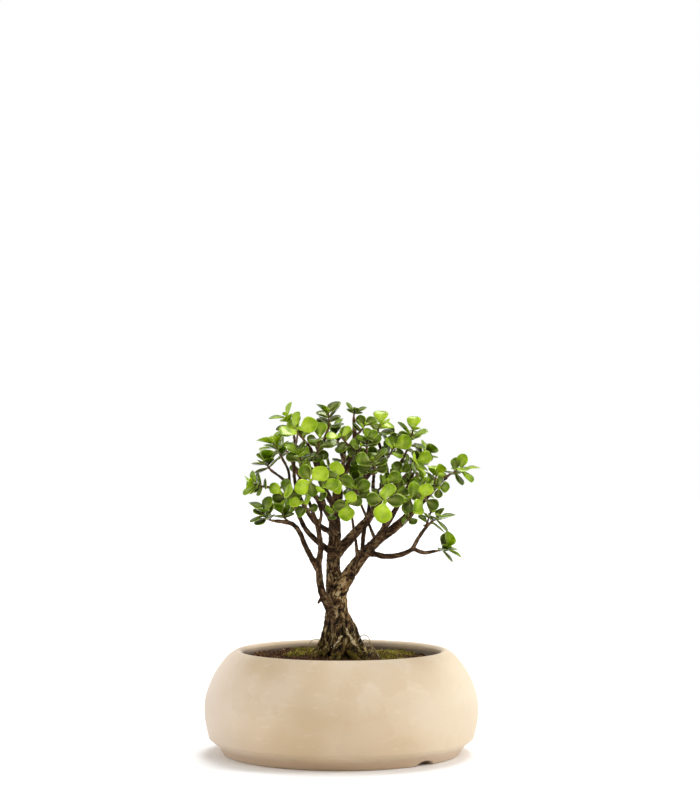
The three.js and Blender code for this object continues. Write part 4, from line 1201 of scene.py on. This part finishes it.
def meets(leaf, spots, radii):
    """Whether any ball comes nearer to the leaf's blade than the clearance"""
    offset = spots - leaf["root"]
    margin = radii + LEAF_CLEARANCE
    u = offset @ leaf["axis"] / leaf["length"]
    edge = margin / leaf["length"]
    close = np.abs(offset @ leaf["face"]) <= margin + LEAF_THICKNESS / 2
    beside = np.abs(offset @ leaf["side"]) / leaf["length"] < leaf_half_width(np.clip(u, 0, 1)) + edge
    return bool(np.any(close & (u >= -edge) & (u <= 1 + edge) & beside))


def balls_along(point_at, radius_at):
    """Balls along a curve that stand for the limb or twig around it"""
    count = math.ceil(length_of(point_at) / SAMPLE_STEP)
    shares = [k / count for k in range(count + 1)]
    return [(*point_at(t), radius_at(t)) for t in shares]


# %% Grow the crown
limb_balls = []
for route in LIMBS.values():
    limb_balls += balls_along(lambda t: limb_point(route, t), lambda t: limb_radius(route, t))
twig_balls = [
    balls_along(lambda t: twig_point(anchor, t), lambda t: lerp(TWIG_RADIUS, TWIG_TIP_RADIUS, t))
    for anchor in anchors]


def is_clear(leaf, balls, others):
    """Whether a leaf meets no wood and no leaf of another spray"""
    if meets(leaf, balls[:, :3], balls[:, 3]):
        return False
    near = [other for other in others if np.linalg.norm(other["root"] - leaf["root"]) < NEIGHBOUR_REACH]
    return not any(
        meets(other, leaf["samples"], 0) or meets(leaf, other["samples"], 0) for other in near)


def grow_spray(index, grown):
    """The leaves of one spray, pair by pair, each the first of its tries that is clear"""
    *_, pairs, size, roll = SPRAYS[index]
    anchor = anchors[index]
    reach = length_of(lambda t: twig_point(anchor, t))
    balls = np.array(limb_balls + [b for i, row in enumerate(twig_balls) if i != index for b in row])
    leaves = []
    for pair in range(pairs):
        rise = pair / (pairs - 1)
        place = pair_frame(anchor, lerp(FIRST_PAIR_REACH / reach, 1 - LAST_PAIR_REACH / reach, rise))
        pair_roll = roll + 90 * (pairs - 1 - pair) + ROLL_JITTER * draw()
        for opposite in (0, 180):
            spread = math.radians(lerp(SPREAD_LOW, SPREAD_TIP, rise) + SPREAD_JITTER * draw())
            length = size * lerp(FIRST_SIZE, 1, rise) * (1 + SIZE_JITTER * draw())
            for turn, scale in LEAF_TRIES:
                angle = math.radians(pair_roll + opposite + turn)
                leaf = new_leaf(place, angle, spread, scale * length)
                if is_clear(leaf, balls, grown):
                    leaves.append(leaf | {"rise": rise})
                    break
    return leaves


crown = []
for index in range(len(SPRAYS)):
    crown.append(grow_spray(index, [leaf for leaves in crown for leaf in leaves]))
print("leaves:", sum(len(leaves) for leaves in crown))

# %% [markdown]
# ## The leaves
#
# A leaf of this plant is a small, fleshy paddle under two millimetres thick, widest beyond its
# middle, with a blunt tip and no stalk. Each starts as a sphere whose poles become the leaf's
# base and tip, and every ring of the sphere is pressed to the width and thickness that the leaf
# has there. A sphere of 64 faces is enough for a leaf 13 mm long. Young leaves are folded a
# little along the midrib and bend back at the tip, old ones are nearly flat. No two leaves face
# quite the same way, so most are turned about their own length, by some twenty degrees either
# way. Those at the crown's top and far sides aren't, so that they stay within its size. On eight
# outer twigs the leaves lie nearly level, as they do where light comes from above only.

# %% Shape of a leaf
LEAF_SEGMENTS, LEAF_RINGS = 8, 8
FINE_WIDTH = 0.8
FINE_FORM = 1.6
FOOT_BLUNTNESS, TIP_BLUNTNESS = 0.95, 0.5
TOP_FULLNESS, UNDER_FULLNESS = 0.95, 0.7
FULL_LENGTH = 13
RIB_WIDTH = 0.035
RIB_SOFTNESS = 0.0012


def fine_half_width(u):
    """Half width of a fine leaf: the plain blade's with a rounder tip and a narrower foot"""
    bluntness = lerp(FOOT_BLUNTNESS, TIP_BLUNTNESS, u)
    return FINE_WIDTH / 2 * max(0, math.sin(math.pi * u ** FINE_FORM)) ** bluntness


def leaf_thickness(u):
    """Share of the full thickness at share u of the length"""
    return (math.sin(math.pi * min(max(0.04 + 0.93 * u, 0), 1) ** 0.8)) ** 0.55


def add_leaf(bm, leaf, layers, fold, curl, age_and_shade, skew, tilt=0):
    """A fine leaf in bm, in place of a plain blade"""
    rib_layer, rim_tone_and_rim_light_layer, age_and_shade_layer, along_layer = layers
    made = bmesh.ops.create_uvsphere(bm, u_segments=LEAF_SEGMENTS, v_segments=LEAF_RINGS, radius=1)
    length = leaf["length"]
    root, axis, side, face = (Vector(leaf[key]) for key in ("root", "axis", "side", "face"))
    side.rotate(Quaternion(axis, tilt))
    face.rotate(Quaternion(axis, tilt))
    full = (0.5 + 0.5 * length / FULL_LENGTH) * (1.1 - 0.2 * (1 - age_and_shade))
    for vert in made["verts"]:
        x, y, z = vert.co
        girth = math.hypot(x, y)
        cos, sin = (x / girth, y / girth) if girth > 1e-6 else (0, 0)
        u = (1 - z) / 2
        across = math.copysign(abs(cos) ** 0.85, cos) * fine_half_width(u)
        thick = full * leaf_thickness(u) * min(girth * 1.6, 1)
        lift = sin * thick * (TOP_FULLNESS if sin > 0 else UNDER_FULLNESS)
        ridge = math.sqrt(across ** 2 + RIB_SOFTNESS) - RIB_WIDTH
        lift += length * (fold * ridge * min(3 * u, 1) - curl * u * u)
        shift = skew * u * u * length
        vert.co = root + axis * u * length + side * (across * length + shift) + face * lift
        vert[rib_layer] = math.exp(-(across / RIB_WIDTH) ** 2) * max(0, 1 - u) if sin > -0.2 else 0
        # The pale rim is partly the leaf's own margin and partly painted rim light
        vert[rim_tone_and_rim_light_layer] = abs(cos) ** 4 if 0.02 < u else 0
        vert[age_and_shade_layer] = age_and_shade
        vert[along_layer] = u


LOW_LEAF_AGE = 0.75
LEAF_AGE_SPREAD = 0.12


def leaf_age_and_shade(leaf, spray_age_and_shade):
    """0 for a leaf that has just opened, 1 for a full-grown dark one, plus painted shade and light"""
    older = spray_age_and_shade + LOW_LEAF_AGE * (1 - leaf["rise"]) + LEAF_AGE_SPREAD * rng.normal()
    return min(max(older, 0), 1)


# %% Which twigs carry young leaves in painted light, old ones in painted shade, or level ones
BRIGHT_SPRAYS = {
    "upper_front_1", "left_front_1", "front_centre_1", "thin_stem_1", "fork_top_1", "front_stub_1",
    "right_fork_1", "right_fork_2", "right_limb_1", "right_limb_2", "right_limb_4", "left_far_1",
    "left_inner_3"}
DARK_SPRAYS = {
    "left_low_1", "left_tip_1", "left_low_2", "left_upper_1", "front_left_2", "trunk_2", "trunk_3",
    "trunk_4", "upper_front_2", "cross_stem_1", "inner_stem_1", "front_right_1", "front_right_2",
    "limb_branch_1", "limb_branch_2", "right_fork_3", "right_limb_3", "right_limb_5", "low_right_1",
    "low_right_fork_1"}
LEVEL_SPRAYS = {
    "left_low_1", "left_low_2", "left_tip_1", "left_branch_1", "right_limb_2",
    "low_right_1", "low_right_fork_1", "low_right_fork_2"}
LEAF_TILT = math.radians(20)
TILT_SIDE, TILT_TOP = 80, 240
LEVEL_SHARE = 0.9
LEVEL_LIMIT = math.radians(80)
SIDE_REACH = 99.3


def level_turn(leaf):
    """The turn about its own axis that brings a leaf's face nearly level, open to the sky"""
    full = math.atan2(-leaf["side"][2], leaf["face"][2])
    return min(max(LEVEL_SHARE * full, -LEVEL_LIMIT), LEVEL_LIMIT)


def fitted(leaf):
    """The leaf, cut short where its tip would stand out past the bowl's side"""
    reach = leaf["axis"][0] * leaf["length"]
    room = SIDE_REACH - leaf["root"][0]
    return leaf | {"length": leaf["length"] * min(1, room / reach)} if reach > 0 else leaf


# %% Buds and twigs
TWIG_STEPS = 14
NODE_DISTANCE = 4.2
TWIG_NODE_SWELL = 0.14
TWIG_OVERLAP = 1.2
TWIG_ROUNDNESS = 3
BUD_LENGTH = 3.4
BUD_OPENING = 0.35
BUD_FOLD, BUD_CURL = 0.3, 0.1


def add_bud(bm, anchor, layers):
    """Two leaves that have only begun to open at the tip of the twig"""
    point, along, across, third = pair_frame(anchor, 1)
    roll = math.tau * rng.random()
    for turn in (roll, roll + math.pi):
        out = across * math.cos(turn) + third * math.sin(turn)
        axis = unit(along + BUD_OPENING * out)
        face = unit(np.cross(axis, np.cross(-out, axis)))
        leaf = {"root": point - along * GAP, "axis": axis, "face": face, "side": np.cross(face, axis)}
        leaf["length"] = BUD_LENGTH * (0.8 + 0.4 * rng.random())
        add_leaf(bm, leaf, layers, BUD_FOLD, BUD_CURL, age_and_shade=0, skew=0)


def twig_mesh(anchor):
    """The twig from inside its spur to its tip, thicker where a pair stands"""
    curve = new_tubes("twig", TWIG_ROUNDNESS)
    inward = way_along(lambda t: twig_point(anchor, t), 0)
    spots = [(*(anchor["start"] - inward * TWIG_OVERLAP), TWIG_RADIUS)]
    length = length_of(lambda t: twig_point(anchor, t))
    for t in np.linspace(0, 1, TWIG_STEPS + 1):
        swell = 1 + TWIG_NODE_SWELL * math.cos(math.tau * t * length / NODE_DISTANCE)
        spots.append((*twig_point(anchor, t), swell * lerp(TWIG_RADIUS, TWIG_TIP_RADIUS, t)))
    add_tube(curve, spots)
    return baked(placed("twig", curve), "twig")


# %% Twigs and leaves of every spray
# Spray ages also hold painted shade and light: back and dark sprays are made older to paint the crown's
# shade, bright sprays younger to paint its light
YOUNG_AGE, BACK_PAINTED_SHADE, DARK_SPRAY_AGE_AND_SHADE, BRIGHT_SPRAY_YOUTH_AND_LIGHT = 0.12, 0.3, 0.32, 0.12
BACK_START = 30
AGE_SPREAD = 0.05
YOUNG_FOLD, OLD_FOLD, FOLD_SPREAD = 0.34, 0.06, 0.05
YOUNG_CURL, OLD_CURL, CURL_SPREAD = 0.12, 0.03, 0.04
SKEW = 0.04
numbers = {}
sprays = []
for index, (row, anchor, leaves) in enumerate(zip(SPRAYS, anchors, crown)):
    numbers[row[0]] = numbers.get(row[0], 0) + 1
    node = f"{row[0]}_{numbers[row[0]]}"
    bm = bmesh.new()
    bm.from_mesh(twig_mesh(anchor))
    bmesh.ops.scale(bm, vec=(1 / MM,) * 3, verts=bm.verts)
    layers = [bm.verts.layers.float.new(name) for name in ("rib", "rim_tone_and_rim_light", "age_and_shade", "along")]
    for face in bm.faces:
        face.material_index = 1
    # A spray's value is its age plus painted shade at the back and on dark sprays, less painted light on
    # bright ones
    spray_age_and_shade = YOUNG_AGE + AGE_SPREAD * rng.normal() + BACK_PAINTED_SHADE * (anchor["tip"][1] > BACK_START)
    spray_age_and_shade += DARK_SPRAY_AGE_AND_SHADE * (node in DARK_SPRAYS) - BRIGHT_SPRAY_YOUTH_AND_LIGHT * (node in BRIGHT_SPRAYS)
    for leaf in leaves:
        age_and_shade = leaf_age_and_shade(leaf, spray_age_and_shade)
        fold = lerp(YOUNG_FOLD, OLD_FOLD, age_and_shade) + FOLD_SPREAD * rng.normal()
        curl = lerp(YOUNG_CURL, OLD_CURL, age_and_shade) + CURL_SPREAD * rng.normal()
        skew, tilt = SKEW * rng.normal(), LEAF_TILT * rng.normal()
        inner = abs(leaf["root"][0]) < TILT_SIDE and leaf["root"][2] < TILT_TOP
        turn = tilt if inner else 0
        if node in LEVEL_SPRAYS:
            turn = 0.5 * turn + level_turn(leaf)
        add_leaf(bm, fitted(leaf), layers, fold, curl, age_and_shade, skew if inner else 0, turn)
    add_bud(bm, anchor, layers)
    sprays.append((node, bm))
print("sprays with fine leaves:", len(sprays))

# %% [markdown]
# ## Leaf and twig finishes
#
# The leaf's skin is waxy, so it has a clear, soft shine, and the flesh under it is full of water,
# so light goes some way in and comes out yellow-green. Young leaves are a bright yellow-green
# with a pale midrib, old ones a deep green, and all have a paler base. Their paler rim is partly
# the leaf's own margin and partly painted rim light. A leaf's age also carries painted light and
# shade: leaves at the back of the crown and on the darker sprays are painted in shade as older
# ones, and the bright outer sprays in light as younger ones. That value and the way along and
# across the leaf were stored on its points, so one material does for all. Twigs are green-brown
# where they are young and turn red-brown.

# %% Leaf material
# A waxy skin over wet flesh: a clear, tinted shine, and light that goes a millimetre in
leaf_finish, tree, shader = new_material(
    "waxy_succulent_leaf", Roughness=0.16, IOR=1.4, Specular_IOR_Level=0.4,
    Specular_Tint=(0.9, 1, 0.35, 1), Subsurface_Weight=0.18, Subsurface_Scale=0.001,
    Subsurface_Radius=(0.9, 1.0, 0.2))
place = add(tree, "ShaderNodeTexCoord", out="Object")
mottle = add(tree, "ShaderNodeTexNoise", {"Vector": place, "Scale": scale_of(6), "Detail": 3})
mottle = add(tree, "ShaderNodeMapRange", (mottle, 0.35, 0.65, -0.16, 0.2))
age_and_shade, along, rib, rim_tone_and_rim_light = (
    add(tree, "ShaderNodeAttribute", out="Fac", attribute_name=name)
    for name in ("age_and_shade", "along", "rib", "rim_tone_and_rim_light"))
age_and_shade = add(tree, "ShaderNodeMath", (age_and_shade, mottle), operation="ADD")
flesh = add(tree, "ShaderNodeValToRGB", (age_and_shade,), stops=[
    (0.0, "#b0cd24"), (0.2, "#8bab13"), (0.45, "#4e6806"), (0.7, "#242f00"), (1.0, "#0c1100")])
for measure, start, end, share, tone in [
    (along, 0.4, 1, 0.5, "#577a08"),
    (rib, 0, 1, 0.6, "#d3df74"),
    # Paler rim: partly the leaf's own margin, partly painted rim light
    (rim_tone_and_rim_light, 0.2, 1, 0.6, "#bfd058"),
    (along, 0.2, 0, 0.5, "#c3cf58"),
]:
    covered = add(tree, "ShaderNodeMapRange", (measure, start, end, 0, share))
    flesh = add(tree, "ShaderNodeMix", {0: covered, 6: flesh, 7: tone}, 2, data_type="RGBA")
skin = add(tree, "ShaderNodeTexNoise", {"Vector": place, "Scale": scale_of(1.1)})
relief = add(tree, "ShaderNodeBump", {"Height": skin, "Distance": 0.06 * MM})
finish_with(tree, shader, flesh, relief)

# %% Twig material
# Thin young bark: satin, with green and red-brown streaks two millimetres long
twig_finish, tree, shader = new_material("young_twig_bark", Roughness=0.6, IOR=1.45)
place = add(tree, "ShaderNodeTexCoord", out="Object")
streaks = add(tree, "ShaderNodeTexNoise", {"Vector": place, "Scale": scale_of(2), "Detail": 3})
streaks = add(tree, "ShaderNodeValToRGB", (streaks,), stops=[
    (0.35, "#4a2d1c"), (0.55, "#6f4a2c"), (0.7, "#7b6f2b")])
wrinkles = add(tree, "ShaderNodeTexNoise", {"Vector": place, "Scale": scale_of(0.7), "Detail": 3})
relief = add(tree, "ShaderNodeBump", {"Height": wrinkles, "Distance": 0.15 * MM})
finish_with(tree, shader, streaks, relief)

# %% Dress every spray
for node, bm in sprays:
    name = f"leaves_{node}"
    show(name, mesh_of(bm, name), [leaf_finish, twig_finish], replaces=[f"spray_{node}"])

# %% [markdown]
# ## Moss, dead roots and rootlets
#
# Three small things make the foot of an old pot plant look real. Moss stands in soft cushions of
# short stems. One to every two or three square millimetres is enough here, and each is a tiny
# spike with three sides. A few surface roots have died and bleached, and lie on the flare of the
# trunk like pale threads.
# Where a root dried out in the air, wiry rootlets arch away from the wood. The roots are laid on
# the bark by rays from outside, so that they touch it wherever the bark is.

# %% Moss cushions
MOSS_COUNT = 9000
STEM_FOOT_RADIUS, STEM_TIP_RADIUS = 0.42, 0.05
STEM_SHORTEST, STEM_SPREAD = 0.9, 1.1
STEM_LIFT = 0.35
STEM_LEAN = 0.5
bm = bmesh.new()
planted = 0
for _ in range(MOSS_COUNT):
    radius, angle = (edge_radius - 1) * math.sqrt(rng.random()), math.tau * rng.random()
    x, y = radius * math.cos(angle), radius * math.sin(angle)
    depth = moss_at(x, y)
    if depth < 0.25 + 0.3 * rng.random():
        continue
    height = (STEM_SHORTEST + STEM_SPREAD * rng.random()) * (0.5 + 0.6 * depth)
    place = Matrix.Translation((x, y, soil_top(x, y) + crumbly(x, y) + STEM_LIFT * height))
    lean = Matrix.Rotation(STEM_LEAN * rng.random(), 4, Vector((*rng.normal(size=2), 0)).normalized())
    bmesh.ops.create_cone(
        bm, cap_ends=True, segments=3, radius1=STEM_FOOT_RADIUS, radius2=STEM_TIP_RADIUS, depth=height,
        matrix=place @ lean)
    planted += 1
moss_mesh = mesh_of(bm, "moss")
print("moss stems:", planted)

# Cushion moss is velvety: dull, with a faint sheen, olive to yellow where its tips are dry
moss_finish, tree, shader = new_material(
    "cushion_moss", Roughness=0.8, IOR=1.35, Specular_IOR_Level=0.2, Sheen_Weight=0.15)
place = add(tree, "ShaderNodeTexCoord", out="Object")
stems = add(tree, "ShaderNodeTexNoise", {
    "Vector": place, "Scale": scale_of(6), "Detail": 3, "Roughness": 0.7})
stems = add(tree, "ShaderNodeValToRGB", (stems,), stops=[
    (0.32, "#433a06"), (0.46, "#7b6c14"), (0.58, "#a39a34"), (0.7, "#cdbb66")])
fuzz = add(tree, "ShaderNodeTexNoise", {"Vector": place, "Scale": scale_of(0.4)})
relief = add(tree, "ShaderNodeBump", {"Height": fuzz, "Distance": 0.1 * MM})
finish_with(tree, shader, stems, relief)
show("moss", moss_mesh, [moss_finish])

# %% Dead roots on the flare, as azimuth, height and radius
DEAD_ROOTS = [
    [(278, 80.5, 0.6), (271, 79, 1.0), (268, 76.5, 0.85), (260, 74, 0.75), (257, 71, 0.5)],
    [(293, 88, 0.4), (298, 85.5, 0.8), (297, 82, 1.0), (303, 79, 0.85), (302, 75.5, 0.9),
     (309, 72, 0.6)],
    [(247, 82, 0.3), (249, 78, 0.4), (244, 75, 0.4), (247, 72, 0.3)],
    [(320, 84, 0.25), (316, 80, 0.35), (321, 76, 0.35), (324, 71, 0.3)],
    [(20, 84, 0.4), (26, 79, 0.6), (24, 74, 0.6), (29, 70, 0.4)],
    [(118, 88, 0.4), (123, 82, 0.7), (120, 76, 0.6), (127, 71, 0.4)],
    [(170, 83, 0.5), (166, 78, 0.6), (171, 73, 0.5)],
]
RAY_START = 60
RAY_RISE = 0.35
SUNK = 0.35
THREAD_STEPS = 5
THREAD_ROUNDNESS = 2


def on_bark(azimuth, height, lift):
    """The place that a ray from outside meets the bark, lifted a little off it"""
    angle = math.radians(azimuth)
    outward = Vector((math.cos(angle), math.sin(angle), RAY_RISE)).normalized()
    start = Vector((*ROOT_CENTRE, height)) + outward * RAY_START
    spot, normal, *_ = bark_tree.ray_cast(start * MM, -outward)
    return None if spot is None else spot / MM + normal * lift


def smooth_spots(spots):
    """Spots of x, y, z and radius, with more of them on the smooth curve through them"""
    shares = np.linspace(0, 1, THREAD_STEPS * len(spots))
    return [(*limb_point(spots, t), limb_radius(spots, t)) for t in shares]


corners = [vert.co.copy() for vert in wood_mesh.vertices]
bark_tree = BVHTree.FromPolygons(corners, [tuple(face.vertices) for face in wood_mesh.polygons])
threads = new_tubes("threads", THREAD_ROUNDNESS)
for root in DEAD_ROOTS:
    laid = [(on_bark(azimuth, height, SUNK * radius), radius) for azimuth, height, radius in root]
    add_tube(threads, smooth_spots([(*spot, radius) for spot, radius in laid if spot]))
print("dead roots laid:", len(DEAD_ROOTS))

# %% Rootlets in the air, as x, y, z and radius
ROOTLETS = [
    [(12, -9, 82, 0.4), (15, -11, 86, 0.35), (18.5, -12, 85.5, 0.3), (21, -12, 81.5, 0.28),
     (22, -12, 76, 0.25), (23, -12, 71, 0.25)],
    [(13, -9, 79, 0.35), (17, -12, 83, 0.3), (21, -14, 80.5, 0.28), (22.5, -14, 76.5, 0.25),
     (20.5, -14, 73, 0.22)],
    [(14, -8, 76, 0.3), (19, -10, 78.5, 0.28), (24, -11, 76, 0.25), (27, -11, 70.5, 0.22)],
    [(15, -12, 74, 0.3), (21, -17, 75.5, 0.25), (26, -18, 73, 0.22), (28, -17, 69.5, 0.2)],
    [(-14, 8, 80, 0.3), (-20, 11, 81, 0.25), (-24, 12, 77, 0.22), (-26, 12, 70, 0.2)],
]
for rootlet in ROOTLETS:
    add_tube(threads, smooth_spots(rootlet))
thread_mesh = baked(placed("threads", threads), "dead_roots")

# Dead roots are bleached by sun and water: pale and dull, with brown rests of their skin
thread_finish, tree, shader = new_material(
    "bleached_dead_root", Roughness=0.8, IOR=1.4, Specular_IOR_Level=0.3)
place = add(tree, "ShaderNodeTexCoord", out="Object")
pale = add(tree, "ShaderNodeTexNoise", {
    "Vector": place, "Scale": scale_of(2.2), "Detail": 3, "Roughness": 0.7})
pale = add(tree, "ShaderNodeValToRGB", (pale,), stops=[
    (0.36, "#4a3922"), (0.48, "#a38c63"), (0.6, "#dfd0a8")])
fibres = add(tree, "ShaderNodeTexNoise", {"Vector": place, "Scale": scale_of(0.6), "Detail": 3})
relief = add(tree, "ShaderNodeBump", {"Height": fibres, "Distance": 0.15 * MM})
finish_with(tree, shader, pale, relief)
show("dead_roots", thread_mesh, [thread_finish])
